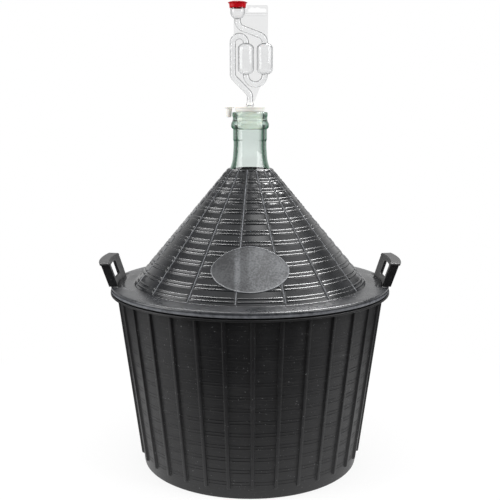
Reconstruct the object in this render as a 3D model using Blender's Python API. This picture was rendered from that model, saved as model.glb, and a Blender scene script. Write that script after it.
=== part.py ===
# Glass demijohn of 54 litres in a two-part plastic basket, with bung and airlock.
# Metres, +Z up. The origin is the centre of the face that the basket stands on.
# Seen from the front (looking along +Y), the hand grips are at -X and +X and the oval plate faces the viewer.

import math

import bmesh
import bpy
from mathutils import Vector

# Facets of the turned shapes
TURN_STEPS = 48
GLASS_STEPS = 40
BUNG_STEPS = 28
SMALL_STEPS = 16
TUBE_SIDES = 8

# Clearances shared by neighbouring pieces
SEAT_GAP = 0.0003  # between faces that rest on each other
SIDE_GAP = 0.0012  # beside a piece that drops in
JOIN_OVERLAP = 0.0012  # how far a joined form reaches into the body that carries it
CUT_OVERRUN = 0.004  # how far a cutter runs past what it cuts

# Tub of the basket
TUB_BASE_RADIUS = 0.206
TUB_TOP_RADIUS = 0.249
TUB_WALL = 0.0032
FOOT_HEIGHT = 0.003
FOOT_WIDTH = 0.026
FOOT_EDGE = 0.002
FLOOR_THICKNESS = 0.004
LIP_UNDERSIDE_Z = 0.3315
LIP_THICKNESS = 0.004
LIP_EDGE = 0.0008
LIP_WIDTH = 0.015
UPSTAND_HEIGHT = 0.0097

# Ribs on the tub
RIB_COUNT = 32
RIB_PHASE = math.radians(1.1)
RIB_START_Z = 0.017
RIB_HEIGHT = 0.004
RIB_ROOT_WIDTH = 0.0085
RIB_CREST_WIDTH = 0.005
RIB_END_SLOPE = 0.004

# Cover of the basket
FLANGE_THICKNESS = 0.0025
FLANGE_EDGE = 0.0015
RIM_GAP = 0.003  # open slot between the cover's skirt and the tub's lip
SKIRT_WALL = 0.0025
SHELF_WIDTH = 0.029  # from the tub's upstand in to the foot of the cone
CONE_RISE = 0.2145
CONE_WALL = 0.0025
COLLAR_WIDTH = 0.002
COLLAR_CLEARANCE = 0.003  # round the neck's bead, which the collar passes over
NOTCH_HALF_ANGLE = math.radians(15.4)
NOTCH_STEPS = 4

# Ring pairs round the cone
RING_FIRST_RISE = 0.008
RING_TOP_MARGIN = 0.012
RING_PITCH = 0.017
RING_WIDTH = 0.0075
RING_HEIGHT = 0.0012

# Oval plate on the front of the cone
PLATE_WIDTH = 0.137
PLATE_SLANT_LENGTH = 0.092
PLATE_RISE = 0.054
PLATE_HEIGHT = 0.0017
PLATE_STEPS = 24
PLATE_RINGS = 3

# Hand grips on the tub's rim
HANDLE_ROOT_HALF_ANGLE = math.radians(14.8)
HANDLE_HALF_ANGLE = math.radians(12.5)
HANDLE_TOP_RISE = 0.044
HANDLE_WALL = 0.0035
HANDLE_DEPTH = 0.011
HANDLE_ROOT_INSET = 0.001
HANDLE_TOP_THICKNESS = 0.0045
HANDLE_TOP_DEPTH = 0.0185
HANDLE_LEAN = math.radians(19.0)
HANDLE_ARCH_DROP = 0.004
WINDOW_HALF_ANGLE = math.radians(6.0)
WINDOW_SILL = 0.009
WINDOW_TOP_BEAM = 0.009

# Glass vessel
GLASS_CLEARANCE = 0.003
GLASS_WALL = 0.0045
BELLY_HEIGHT_SHARE = 0.68
BELLY_POWER = 2.2
BELLY_STEPS = 7
BASE_RING_SHARE = 0.57
PUNT_RISE = 0.024
PUNT_RADIUS_SHARES = (0.45, 0.82)
PUNT_RISE_SHARES = (0.8, 0.16)
SHOULDER_RISE = 0.030
SHOULDER_HANDLE_SHARES = (0.50, 0.30)
SHOULDER_STEPS = 5
NECK_RADIUS = 0.0308
NECK_WALL = 0.0058
NECK_LENGTH = 0.1037
NECK_FLARE_BELOW = 0.0225
NECK_FLARE_ABOVE = 0.040
NECK_FLARE_SHARES = (0.62, 0.90)
NECK_FLARE_STEPS = 4
NECK_STEP_WIDTH = 0.0009
NECK_STEP_DROP = 0.0506
BEAD_WIDTH = 0.0047
BEAD_DROP = 0.0305
BEAD_HEIGHT = 0.015
GROOVE_WIDTH = 0.0014
GLASS_LIP_WIDTH = 0.0021
GLASS_LIP_HEIGHT = 0.0064
GLASS_LIP_CHAMFER = 0.0015

# Bung
BUNG_FLANGE_WIDTH = 0.0034
BUNG_FLANGE_THICKNESS = 0.0028
BUNG_SHOULDER_HEIGHT = 0.0072
BUNG_SHOULDER_TAPER = 0.001
BUNG_DEPTH = 0.029
BUNG_BORE_CLEARANCE = 0.0005
BUNG_CORE_INSET = 0.0012
BUNG_TIP_INSET = 0.0022
BUNG_RING_COUNT = 3
BUNG_RING_HEIGHT = 0.0028
BUNG_HOLE_CLEARANCE = 0.0005

# Plug on its strap beside the bung
PLUG_FLANGE_RADIUS = 0.0085
PLUG_FLANGE_THICKNESS = 0.0024
PLUG_BODY_RADIUS = 0.006
PLUG_TIP_RADIUS = 0.0043
PLUG_LENGTH = 0.017
STRAP_WIDTH = 0.006
STRAP_THICKNESS = 0.0014
STRAP_GAP = 0.0005

# Airlock: distances sideways from the stem's axis, heights from the stem's collar
TUBE_RADIUS = 0.0057
TUBE_WALL = 0.0013
STEM_INSERTION = 0.036
STEM_TIP_RADIUS = 0.0046
STEM_COLLAR_RADIUS = 0.0075
STEM_COLLAR_HEIGHT = 0.003
STEM_RISE = 0.0226
LEG_GAP = 0.0035
LEG_CORNER_RISE = 0.0542
BULB_LEFT_OFFSET = -0.0075
BULB_GAP = 0.0049
BULB_RADIUS = 0.0149
BULB_WALL = 0.0012
BULB_LOW_RISE = 0.0572
BULB_LENGTH = 0.0575
BULB_END = 0.010
BULB_END_STEPS = 3
CUP_OFFSET = -0.0225
CUP_RADIUS = 0.0134
CUP_WALL = 0.0011
CUP_BOTTOM_RISE = 0.156
CUP_HEIGHT = 0.0308
CUP_BOTTOM_STEPS = 3
BEND_STEPS = 7
UPPER_CORNER_RISES = (0.1438, 0.1249)
UPPER_BEND_RADIUS = 0.014
LEG_BEND_RADIUS = 0.009
STEM_BEND_RADIUS = 0.016
CORNER_STEPS = 3
WEB_THICKNESS = 0.0016
WEB_LEFT = -0.0297
WEB_RIGHT = 0.0328
WEB_TOP_RISE = 0.1813
WEB_SIDE_LOW_RISE = 0.070
WEB_LOW_RISE = 0.009
WEB_LOW_RIGHT = 0.0082
SLOT_LEFT = -0.0037
SLOT_RIGHT = 0.0298
SLOT_HEIGHT = 0.008
SLOT_RISE = 0.1683

# Dust cap of the airlock
CAP_BRIM_RADIUS = 0.0171
CAP_BRIM_THICKNESS = 0.0028
CAP_SKIRT_HEIGHT = 0.0122
CAP_WALL = 0.0011
CAP_TOP_THICKNESS = 0.0015
CAP_FIT = 0.0004
CAP_BRIM_FLARE = 0.0014

# Radii across the basket and the neck that follow from the sizes above
RIM_RADIUS = TUB_TOP_RADIUS + LIP_WIDTH
CONE_BASE_RADIUS = TUB_TOP_RADIUS - SHELF_WIDTH
NOTCH_RADIUS = TUB_TOP_RADIUS + SEAT_GAP
HANDLE_ROOT_RADIUS = NOTCH_RADIUS + SIDE_GAP
HANDLE_ROOT_DEPTH = RIM_RADIUS - HANDLE_ROOT_INSET - HANDLE_ROOT_RADIUS
NECK_BORE_RADIUS = NECK_RADIUS - NECK_WALL
NECK_STEP_RADIUS = NECK_RADIUS + NECK_STEP_WIDTH
BEAD_RADIUS = NECK_RADIUS + BEAD_WIDTH
GROOVE_RADIUS = NECK_RADIUS + GROOVE_WIDTH
GLASS_LIP_RADIUS = NECK_RADIUS + GLASS_LIP_WIDTH
COLLAR_RADIUS = BEAD_RADIUS + COLLAR_CLEARANCE
CONE_TOP_RADIUS = COLLAR_RADIUS + COLLAR_WIDTH
BUNG_FLANGE_RADIUS = NECK_BORE_RADIUS + BUNG_FLANGE_WIDTH
BUNG_HOLE_RADIUS = TUBE_RADIUS + BUNG_HOLE_CLEARANCE
PLUG_OFFSET = GLASS_LIP_RADIUS + SEAT_GAP + PLUG_BODY_RADIUS

# Heights that follow
FLOOR_TOP_Z = FOOT_HEIGHT + FLOOR_THICKNESS
LIP_TOP_Z = LIP_UNDERSIDE_Z + LIP_THICKNESS
UPSTAND_TOP_Z = LIP_TOP_Z + UPSTAND_HEIGHT
SKIRT_LOW_Z = LIP_TOP_Z + RIM_GAP
FLANGE_UNDERSIDE_Z = UPSTAND_TOP_Z + SEAT_GAP
FLANGE_TOP_Z = FLANGE_UNDERSIDE_Z + FLANGE_THICKNESS
COVER_TOP_Z = FLANGE_TOP_Z + CONE_RISE
CONE_SLOPE = (CONE_BASE_RADIUS - CONE_TOP_RADIUS) / CONE_RISE
CONE_SLANT = math.hypot(CONE_SLOPE, 1)
RING_COUNT = 1 + int((CONE_RISE - RING_FIRST_RISE - RING_TOP_MARGIN) / RING_PITCH)
GLASS_BOTTOM_Z = FLOOR_TOP_Z + SEAT_GAP
GLASS_TOP_Z = COVER_TOP_Z + NECK_LENGTH
BUNG_TOP_Z = GLASS_TOP_Z + SEAT_GAP + BUNG_SHOULDER_HEIGHT + BUNG_FLANGE_THICKNESS
STEM_Z = BUNG_TOP_Z + SEAT_GAP
BULB_RIGHT_OFFSET = BULB_LEFT_OFFSET + 2 * BULB_RADIUS + BULB_GAP
LEG_OFFSET = BULB_LEFT_OFFSET - BULB_RADIUS - LEG_GAP - TUBE_RADIUS
CUP_RIM_Z = STEM_Z + CUP_BOTTOM_RISE + CUP_HEIGHT
CAP_INNER_RADIUS = CUP_RADIUS + CAP_FIT
CAP_OUTER_RADIUS = CAP_INNER_RADIUS + CAP_WALL
CAP_TOP_Z = CUP_RIM_Z + SEAT_GAP + CAP_TOP_THICKNESS
CAP_SKIRT_LOW_Z = CAP_TOP_Z - CAP_SKIRT_HEIGHT


def clear_scene():
    for old in list(bpy.data.objects):
        bpy.data.objects.remove(old, do_unlink=True)


def make_material(name, colour, roughness, metallic=0.0, transmission=0.0):
    material = bpy.data.materials.new(name)
    material.use_nodes = True
    shader = material.node_tree.nodes["Principled BSDF"]
    shader.inputs["Base Color"].default_value = (*colour, 1.0)
    shader.inputs["Roughness"].default_value = roughness
    shader.inputs["Metallic"].default_value = metallic
    shader.inputs["Transmission Weight"].default_value = transmission
    return material


def make_object(name, shape, material=None, origin=(0, 0, 0)):
    """Turns a bmesh in world coordinates into an object whose origin is at the given place."""
    bmesh.ops.recalc_face_normals(shape, faces=shape.faces)
    bmesh.ops.translate(shape, verts=shape.verts, vec=-Vector(origin))
    mesh = bpy.data.meshes.new(name)
    shape.to_mesh(mesh)
    shape.free()
    mesh.shade_smooth()
    mesh.set_sharp_from_angle(angle=math.radians(30))
    made = bpy.data.objects.new(name, mesh)
    made.location = origin
    if material:
        mesh.materials.append(material)
    bpy.context.scene.collection.objects.link(made)
    return made


def make_helper(name, shape):
    """An object that only cuts or is joined: it is never drawn as a piece."""
    helper = make_object(name, shape)
    helper.hide_render = True
    helper.display_type = "WIRE"
    return helper


def combine(target, helper, operation):
    modifier = target.modifiers.new(helper.name, "BOOLEAN")
    modifier.operation = operation
    modifier.solver = "EXACT"
    modifier.object = helper


def turned(profile, steps, centre=(0, 0), closed=False):
    """Spins a profile of (radius, z) points about a vertical axis."""
    shape = bmesh.new()
    points = [shape.verts.new((radius, 0, z)) for radius, z in profile]
    ends = points[1:] + points[:1] if closed else points[1:]
    edges = [shape.edges.new(pair) for pair in zip(points, ends)]
    bmesh.ops.spin(
        shape,
        geom=points + edges,
        cent=(0, 0, 0),
        axis=(0, 0, 1),
        angle=2 * math.pi,
        steps=steps,
        use_merge=True,
    )
    bmesh.ops.remove_doubles(shape, verts=shape.verts, dist=1e-7)
    bmesh.ops.translate(shape, verts=shape.verts, vec=(*centre, 0))
    return shape


def polar(radius, angle, z):
    """A point at an angle from +X, counter-clockwise seen from above."""
    return Vector((radius * math.cos(angle), radius * math.sin(angle), z))


def bezier(start, start_handle, end_handle, end, steps):
    """Points along a cubic curve in (x, z), without its first point."""
    points = []
    for step in range(1, steps + 1):
        t = step / steps
        weights = ((1 - t) ** 3, 3 * t * (1 - t) ** 2, 3 * t**2 * (1 - t), t**3)
        corners = (start, start_handle, end_handle, end)
        points.append(
            tuple(sum(w * c[axis] for w, c in zip(weights, corners)) for axis in (0, 1))
        )
    return points


def arc(centre, radius, start_angle, end_angle, steps):
    """Points along an arc in (x, z), without its first point."""
    points = []
    for step in range(1, steps + 1):
        angle = start_angle + (end_angle - start_angle) * step / steps
        points.append((centre[0] + radius * math.cos(angle), centre[1] + radius * math.sin(angle)))
    return points


def bridged(rings, caps=True):
    """Joins rings of points, each with the same count, into one closed skin."""
    shape = bmesh.new()
    made = [[shape.verts.new(point) for point in ring] for ring in rings]
    count = len(made[0])
    for lower, upper in zip(made, made[1:]):
        for i in range(count):
            j = (i + 1) % count
            shape.faces.new((lower[i], lower[j], upper[j], upper[i]))
    if caps:
        shape.faces.new(made[0])
        shape.faces.new(made[-1])
    return shape


def merged(shapes):
    """Puts several bmeshes into one; they stay separate bodies."""
    whole = bmesh.new()
    for shape in shapes:
        piece = bpy.data.meshes.new("piece")
        shape.to_mesh(piece)
        shape.free()
        whole.from_mesh(piece)
        bpy.data.meshes.remove(piece)
    return whole


def block(low, high):
    """A box between two corners."""
    shape = bmesh.new()
    bmesh.ops.create_cube(shape, size=1)
    size = Vector(high) - Vector(low)
    bmesh.ops.scale(shape, verts=shape.verts, vec=size)
    bmesh.ops.translate(shape, verts=shape.verts, vec=Vector(low) + size / 2)
    return shape


# Tub


def tub_outer_radius(z):
    return TUB_BASE_RADIUS + (TUB_TOP_RADIUS - TUB_BASE_RADIUS) * z / LIP_TOP_Z


def tub_inner_radius(z):
    return tub_outer_radius(z) - TUB_WALL


def tub_profile():
    foot_inner = TUB_BASE_RADIUS - FOOT_WIDTH
    return [
        (0, FOOT_HEIGHT),
        (foot_inner - FOOT_HEIGHT, FOOT_HEIGHT),
        (foot_inner, 0),
        (TUB_BASE_RADIUS - FOOT_EDGE, 0),
        (tub_outer_radius(FOOT_EDGE), FOOT_EDGE),
        (tub_outer_radius(LIP_UNDERSIDE_Z), LIP_UNDERSIDE_Z),
        (RIM_RADIUS - LIP_EDGE, LIP_UNDERSIDE_Z),
        (RIM_RADIUS, LIP_UNDERSIDE_Z + LIP_EDGE),
        (RIM_RADIUS, LIP_TOP_Z - LIP_EDGE),
        (RIM_RADIUS - LIP_EDGE, LIP_TOP_Z),
        (TUB_TOP_RADIUS, LIP_TOP_Z),
        (TUB_TOP_RADIUS, UPSTAND_TOP_Z),
        (TUB_TOP_RADIUS - TUB_WALL, UPSTAND_TOP_Z),
        (TUB_TOP_RADIUS - TUB_WALL, LIP_TOP_Z),
        (tub_inner_radius(FLOOR_TOP_Z + FOOT_EDGE), FLOOR_TOP_Z + FOOT_EDGE),
        (tub_inner_radius(FLOOR_TOP_Z) - FOOT_EDGE, FLOOR_TOP_Z),
        (0, FLOOR_TOP_Z),
    ]


def rib(angle):
    """One rounded rib, standing on the tub's tapering wall and running into the lip."""
    rings = []
    top = LIP_UNDERSIDE_Z + JOIN_OVERLAP
    for z, height in (
        (RIB_START_Z, 0),
        (RIB_START_Z + RIB_END_SLOPE, RIB_HEIGHT),
        (top, RIB_HEIGHT),
    ):
        wall = tub_outer_radius(z)
        inner = wall - JOIN_OVERLAP
        crest = wall + height - (JOIN_OVERLAP / 2 if height == 0 else 0)
        root_turn = RIB_ROOT_WIDTH / 2 / wall
        crest_turn = RIB_CREST_WIDTH / 2 / wall
        rings.append(
            [
                polar(inner, angle - root_turn, z),
                polar(inner, angle + root_turn, z),
                polar(crest, angle + crest_turn, z),
                polar(crest, angle - crest_turn, z),
            ]
        )
    return bridged(rings)


def make_tub(material):
    tub = make_object("basket_tub", turned(tub_profile(), TURN_STEPS), material)
    first = RIB_PHASE - math.pi / 2
    ribs = [rib(first + 2 * math.pi * i / RIB_COUNT) for i in range(RIB_COUNT)]
    combine(tub, make_helper("rib_shapes", merged(ribs)), "UNION")
    return tub


# Cover


def cone_outer_radius(z):
    return CONE_BASE_RADIUS - CONE_SLOPE * (z - FLANGE_TOP_Z)


def cone_inner_radius(z):
    return cone_outer_radius(z) - CONE_WALL * CONE_SLANT


def on_cone(z, height):
    """The (radius, z) at a height above the cone's skin, measured square to it."""
    return (
        cone_outer_radius(z) + height / CONE_SLANT,
        z + height * CONE_SLOPE / CONE_SLANT,
    )


def cover_profile():
    collar_low_z = COVER_TOP_Z - (COLLAR_RADIUS - cone_inner_radius(COVER_TOP_Z)) / CONE_SLOPE
    points = [
        (COLLAR_RADIUS, collar_low_z),
        (COLLAR_RADIUS, COVER_TOP_Z),
        (CONE_TOP_RADIUS, COVER_TOP_Z),
    ]
    half = RING_WIDTH / 2 / CONE_SLANT
    for i in reversed(range(RING_COUNT)):
        z = FLANGE_TOP_Z + RING_FIRST_RISE + i * RING_PITCH
        points += [on_cone(z + half, 0), on_cone(z, RING_HEIGHT), on_cone(z - half, 0)]
    points += [
        (CONE_BASE_RADIUS, FLANGE_TOP_Z),
        (RIM_RADIUS - FLANGE_EDGE, FLANGE_TOP_Z),
        (RIM_RADIUS, FLANGE_TOP_Z - FLANGE_EDGE),
        (RIM_RADIUS, SKIRT_LOW_Z),
        (RIM_RADIUS - SKIRT_WALL, SKIRT_LOW_Z),
        (RIM_RADIUS - SKIRT_WALL, FLANGE_UNDERSIDE_Z),
        (cone_inner_radius(FLANGE_UNDERSIDE_Z), FLANGE_UNDERSIDE_Z),
    ]
    return points


def notch_cutter(middle):
    """Room in the flange and skirt for the root of one hand grip, open to the outside."""
    low_z = SKIRT_LOW_Z - CUT_OVERRUN
    high_z = FLANGE_TOP_Z + CUT_OVERRUN
    outer = (RIM_RADIUS + CUT_OVERRUN) / math.cos(NOTCH_HALF_ANGLE / NOTCH_STEPS)
    turns = [
        middle + NOTCH_HALF_ANGLE * (2 * i / NOTCH_STEPS - 1) for i in range(NOTCH_STEPS + 1)
    ]
    rings = []
    for z in (low_z, high_z):
        inside = [polar(NOTCH_RADIUS, turn, z) for turn in turns]
        outside = [polar(outer, turn, z) for turn in reversed(turns)]
        rings.append(inside + outside)
    return bridged(rings)


def plate_shape():
    """The oval plate: a thin slab that follows the cone."""
    middle_z = FLANGE_TOP_Z + PLATE_RISE
    turn_radius = cone_outer_radius(middle_z)
    layers = []
    for height in (-JOIN_OVERLAP, PLATE_HEIGHT):
        rings = []
        for ring in range(1, PLATE_RINGS + 1):
            share = ring / PLATE_RINGS
            points = []
            for step in range(PLATE_STEPS):
                around = 2 * math.pi * step / PLATE_STEPS
                across = PLATE_WIDTH / 2 * share * math.cos(around)
                along = PLATE_SLANT_LENGTH / 2 * share * math.sin(around)
                radius, z = on_cone(middle_z + along / CONE_SLANT, height)
                points.append(polar(radius, across / turn_radius - math.pi / 2, z))
            rings.append(points)
        radius, z = on_cone(middle_z, height)
        layers.append((rings, polar(radius, -math.pi / 2, z)))
    (inner, inner_middle), (outer, outer_middle) = layers
    shape = bridged(inner + list(reversed(outer)), caps=False)
    shape.verts.ensure_lookup_table()
    for first, middle in ((0, inner_middle), (len(shape.verts) - PLATE_STEPS, outer_middle)):
        pole = shape.verts.new(middle)
        shape.verts.ensure_lookup_table()
        for i in range(PLATE_STEPS):
            j = (i + 1) % PLATE_STEPS
            shape.faces.new((shape.verts[first + i], shape.verts[first + j], pole))
    return shape


def make_cover(material):
    origin = (0, 0, FLANGE_UNDERSIDE_Z)
    cover = make_object(
        "basket_cover", turned(cover_profile(), TURN_STEPS, closed=True), material, origin
    )
    combine(cover, make_helper("plate_shape", plate_shape()), "UNION")
    for name, middle in (("right_notch_cut", 0), ("left_notch_cut", math.pi)):
        combine(cover, make_helper(name, notch_cutter(middle)), "DIFFERENCE")
    return cover


# Hand grips


def handle_inner_radius(z):
    rise = max(0, z - FLANGE_TOP_Z)
    return HANDLE_ROOT_RADIUS + rise * math.tan(HANDLE_LEAN)


def handle_filled(turn, z, depth):
    """Whether the grip has material at an angle, height and depth outwards from its inner face."""
    if z < FLANGE_TOP_Z:
        return depth < HANDLE_ROOT_DEPTH
    if abs(turn) > HANDLE_HALF_ANGLE:
        return False
    top = FLANGE_TOP_Z + HANDLE_TOP_RISE
    if z > top - HANDLE_TOP_THICKNESS:
        return True
    in_window = (
        abs(turn) < WINDOW_HALF_ANGLE
        and FLANGE_TOP_Z + WINDOW_SILL < z < top - WINDOW_TOP_BEAM
    )
    if depth < HANDLE_WALL:
        return not in_window
    end_web = HANDLE_HALF_ANGLE - HANDLE_WALL / HANDLE_ROOT_RADIUS
    return depth < HANDLE_DEPTH and abs(turn) > end_web


def handle_shape(middle):
    """Builds the grip from filled cells, then bends them round the rim and leans them outwards."""
    top = FLANGE_TOP_Z + HANDLE_TOP_RISE
    end_web = HANDLE_HALF_ANGLE - HANDLE_WALL / HANDLE_ROOT_RADIUS
    half = [
        WINDOW_HALF_ANGLE / 2,
        WINDOW_HALF_ANGLE,
        (WINDOW_HALF_ANGLE + end_web) / 2,
        end_web,
        HANDLE_HALF_ANGLE,
        HANDLE_ROOT_HALF_ANGLE,
    ]
    turns = [-turn for turn in reversed(half)] + [0] + half
    heights = [
        LIP_TOP_Z + SEAT_GAP,
        FLANGE_TOP_Z,
        FLANGE_TOP_Z + WINDOW_SILL,
        top - WINDOW_TOP_BEAM,
        top - HANDLE_TOP_THICKNESS,
        top,
    ]
    depths = [0, HANDLE_WALL, HANDLE_DEPTH, HANDLE_ROOT_DEPTH, HANDLE_TOP_DEPTH]
    grids = (turns, heights, depths)
    sizes = [len(grid) - 1 for grid in grids]

    def filled(cell):
        if any(not 0 <= index < size for index, size in zip(cell, sizes)):
            return False
        return handle_filled(*((grid[i] + grid[i + 1]) / 2 for grid, i in zip(grids, cell)))

    shape = bmesh.new()
    made = {}

    def corner(i, j, k):
        if (i, j, k) not in made:
            z = heights[j]
            radius = handle_inner_radius(z) + depths[k]
            arch_share = (abs(turns[i]) / HANDLE_HALF_ANGLE) ** 4
            rise_share = max(0, z - FLANGE_TOP_Z) / HANDLE_TOP_RISE
            drop = HANDLE_ARCH_DROP * arch_share * rise_share**3
            made[i, j, k] = shape.verts.new(polar(radius, middle + turns[i], z - drop))
        return made[i, j, k]

    for i in range(sizes[0]):
        for j in range(sizes[1]):
            for k in range(sizes[2]):
                if not filled((i, j, k)):
                    continue
                for axis in range(3):
                    for side in (0, 1):
                        beyond = [i, j, k]
                        beyond[axis] += 2 * side - 1
                        if filled(tuple(beyond)):
                            continue
                        others = [a for a in range(3) if a != axis]
                        square = []
                        for first, second in ((0, 0), (1, 0), (1, 1), (0, 1)):
                            place = [i, j, k]
                            place[axis] += side
                            place[others[0]] += first
                            place[others[1]] += second
                            square.append(corner(*place))
                        shape.faces.new(square)
    return shape


def make_handles(material):
    for name, middle in (("right_handle", 0), ("left_handle", math.pi)):
        origin = polar(HANDLE_ROOT_RADIUS, middle, LIP_TOP_Z + SEAT_GAP)
        make_object(name, handle_shape(middle), material, origin)


# Glass


def glass_body_outline():
    """The vessel's skin in (radius, z) from its base ring up to the neck's narrowest part."""
    belly_z = FLANGE_TOP_Z * BELLY_HEIGHT_SHARE
    drop_share = (1 - BASE_RING_SHARE**BELLY_POWER) ** (1 / BELLY_POWER)
    full_drop = (belly_z - GLASS_BOTTOM_Z) / drop_share
    curve = []
    for step in range(BELLY_STEPS + 1):
        down = drop_share * math.cos(step / BELLY_STEPS * math.pi / 2)
        radius_share = (1 - down**BELLY_POWER) ** (1 / BELLY_POWER)
        curve.append((radius_share, belly_z - full_drop * down))
    # The belly is as wide as the tapering tub lets it be
    belly_radius = min((tub_inner_radius(z) - GLASS_CLEARANCE) / share for share, z in curve)
    points = [(belly_radius * share, z) for share, z in curve]

    gap = GLASS_CLEARANCE * CONE_SLANT
    line_z = FLANGE_TOP_Z + SHOULDER_RISE
    line_start = (cone_inner_radius(line_z) - gap, line_z)
    belly_rise, line_drop = [share * (line_z - belly_z) for share in SHOULDER_HANDLE_SHARES]
    shoulder_handle = (belly_radius, belly_z + belly_rise)
    line_handle = (line_start[0] + CONE_SLOPE * line_drop, line_z - line_drop)
    points += bezier(
        (belly_radius, belly_z), shoulder_handle, line_handle, line_start, SHOULDER_STEPS
    )

    flare_z = COVER_TOP_Z - NECK_FLARE_BELOW
    flare_start = (cone_inner_radius(flare_z) - gap, flare_z)
    points.append(flare_start)
    neck_end = (NECK_RADIUS, COVER_TOP_Z + NECK_FLARE_ABOVE)
    low_rise = NECK_FLARE_BELOW * NECK_FLARE_SHARES[0]
    low_handle = (flare_start[0] - CONE_SLOPE * low_rise, flare_z + low_rise)
    high_handle = (NECK_RADIUS, neck_end[1] - NECK_FLARE_ABOVE * NECK_FLARE_SHARES[1])
    points += bezier(flare_start, low_handle, high_handle, neck_end, NECK_FLARE_STEPS)
    return points


def offset_inwards(points, distance):
    """The same outline moved square to itself, towards the axis or up from the base."""
    moved = []
    for i, (radius, z) in enumerate(points):
        before = points[max(i - 1, 0)]
        after = points[min(i + 1, len(points) - 1)]
        along = Vector((after[0] - before[0], after[1] - before[1])).normalized()
        moved.append((radius - along.y * distance, z + along.x * distance))
    return moved


def glass_profile():
    body = glass_body_outline()
    punt = [(0, GLASS_BOTTOM_Z + PUNT_RISE)]
    for radius_share, rise_share in zip(PUNT_RADIUS_SHARES, PUNT_RISE_SHARES):
        punt.append((body[0][0] * radius_share, GLASS_BOTTOM_Z + PUNT_RISE * rise_share))
    step_z = GLASS_TOP_Z - NECK_STEP_DROP
    bead_low_z = GLASS_TOP_Z - BEAD_DROP
    lip_low_z = GLASS_TOP_Z - GLASS_LIP_HEIGHT
    bead_quarter = BEAD_HEIGHT / 4
    neck = [
        (NECK_RADIUS, step_z - GLASS_LIP_CHAMFER),
        (NECK_STEP_RADIUS, step_z),
        (NECK_STEP_RADIUS, bead_low_z),
        (BEAD_RADIUS, bead_low_z + bead_quarter),
        (BEAD_RADIUS, bead_low_z + 2 * bead_quarter),
        (GROOVE_RADIUS, bead_low_z + BEAD_HEIGHT),
        (GROOVE_RADIUS, lip_low_z - GLASS_LIP_CHAMFER),
        (GLASS_LIP_RADIUS, lip_low_z),
        (GLASS_LIP_RADIUS, GLASS_TOP_Z - GLASS_LIP_CHAMFER),
        (GLASS_LIP_RADIUS - GLASS_LIP_CHAMFER, GLASS_TOP_Z),
        (NECK_BORE_RADIUS + GLASS_LIP_CHAMFER, GLASS_TOP_Z),
        (NECK_BORE_RADIUS, GLASS_TOP_Z - GLASS_LIP_CHAMFER),
    ]
    inside = offset_inwards(punt + body, GLASS_WALL)
    inside[0] = (0, inside[0][1])
    throat = [point for point in inside if point[1] < COVER_TOP_Z]
    bore_low = (NECK_BORE_RADIUS, COVER_TOP_Z + NECK_FLARE_ABOVE / 2)
    return punt + body + neck + [bore_low] + list(reversed(throat))


def make_glass(material):
    profile = glass_profile()
    return make_object(
        "glass_demijohn", turned(profile, GLASS_STEPS), material, (0, 0, GLASS_BOTTOM_Z)
    )


# Bung and its plug


def bung_profile():
    seat_z = GLASS_TOP_Z + SEAT_GAP
    flange_low_z = seat_z + BUNG_SHOULDER_HEIGHT
    plug_radius = NECK_BORE_RADIUS - BUNG_BORE_CLEARANCE
    core_radius = plug_radius - BUNG_CORE_INSET
    tip_z = GLASS_TOP_Z - BUNG_DEPTH
    shoulder_low = plug_radius + GLASS_LIP_CHAMFER + BUNG_BORE_CLEARANCE
    points = [(BUNG_HOLE_RADIUS, tip_z), (plug_radius - BUNG_TIP_INSET, tip_z)]
    pitch = BUNG_DEPTH / (BUNG_RING_COUNT + 1)
    for i in range(BUNG_RING_COUNT):
        middle = tip_z + pitch * (i + 1)
        half = BUNG_RING_HEIGHT / 2
        points += [
            (core_radius, middle - half),
            (plug_radius, middle),
            (core_radius, middle + half),
        ]
    points += [
        (core_radius, seat_z),
        (shoulder_low, seat_z),
        (shoulder_low + BUNG_SHOULDER_TAPER, flange_low_z),
        (BUNG_FLANGE_RADIUS, flange_low_z),
        (BUNG_FLANGE_RADIUS, BUNG_TOP_Z),
        (BUNG_HOLE_RADIUS, BUNG_TOP_Z),
    ]
    return points


def make_bung(material):
    origin = (0, 0, GLASS_TOP_Z)
    return make_object("bung", turned(bung_profile(), BUNG_STEPS, closed=True), material, origin)


def make_plug(material):
    """The plug hangs beside the bung; its strap bends along its top edge at the bung's flange."""
    top_z = BUNG_TOP_Z
    flange_low_z = top_z - PLUG_FLANGE_THICKNESS
    profile = [
        (0, top_z - PLUG_LENGTH - PLUG_FLANGE_THICKNESS),
        (PLUG_TIP_RADIUS, top_z - PLUG_LENGTH - PLUG_FLANGE_THICKNESS),
        (PLUG_BODY_RADIUS, flange_low_z),
        (PLUG_FLANGE_RADIUS, flange_low_z),
        (PLUG_FLANGE_RADIUS, top_z),
        (0, top_z),
    ]
    strap_root = -(BUNG_FLANGE_RADIUS + STRAP_GAP)
    strap_top_z = top_z - (PLUG_FLANGE_THICKNESS - STRAP_THICKNESS) / 2
    plug = make_object(
        "bung_plug",
        turned(profile, SMALL_STEPS, centre=(-PLUG_OFFSET, 0)),
        material,
        (strap_root, 0, strap_top_z),
    )
    strap_end = -(PLUG_OFFSET - PLUG_FLANGE_RADIUS + JOIN_OVERLAP)
    strap_low = (strap_end, -STRAP_WIDTH / 2, strap_top_z - STRAP_THICKNESS)
    strap_high = (strap_root, STRAP_WIDTH / 2, strap_top_z)
    combine(plug, make_helper("strap_shape", block(strap_low, strap_high)), "UNION")
    return plug


# Airlock


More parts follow.
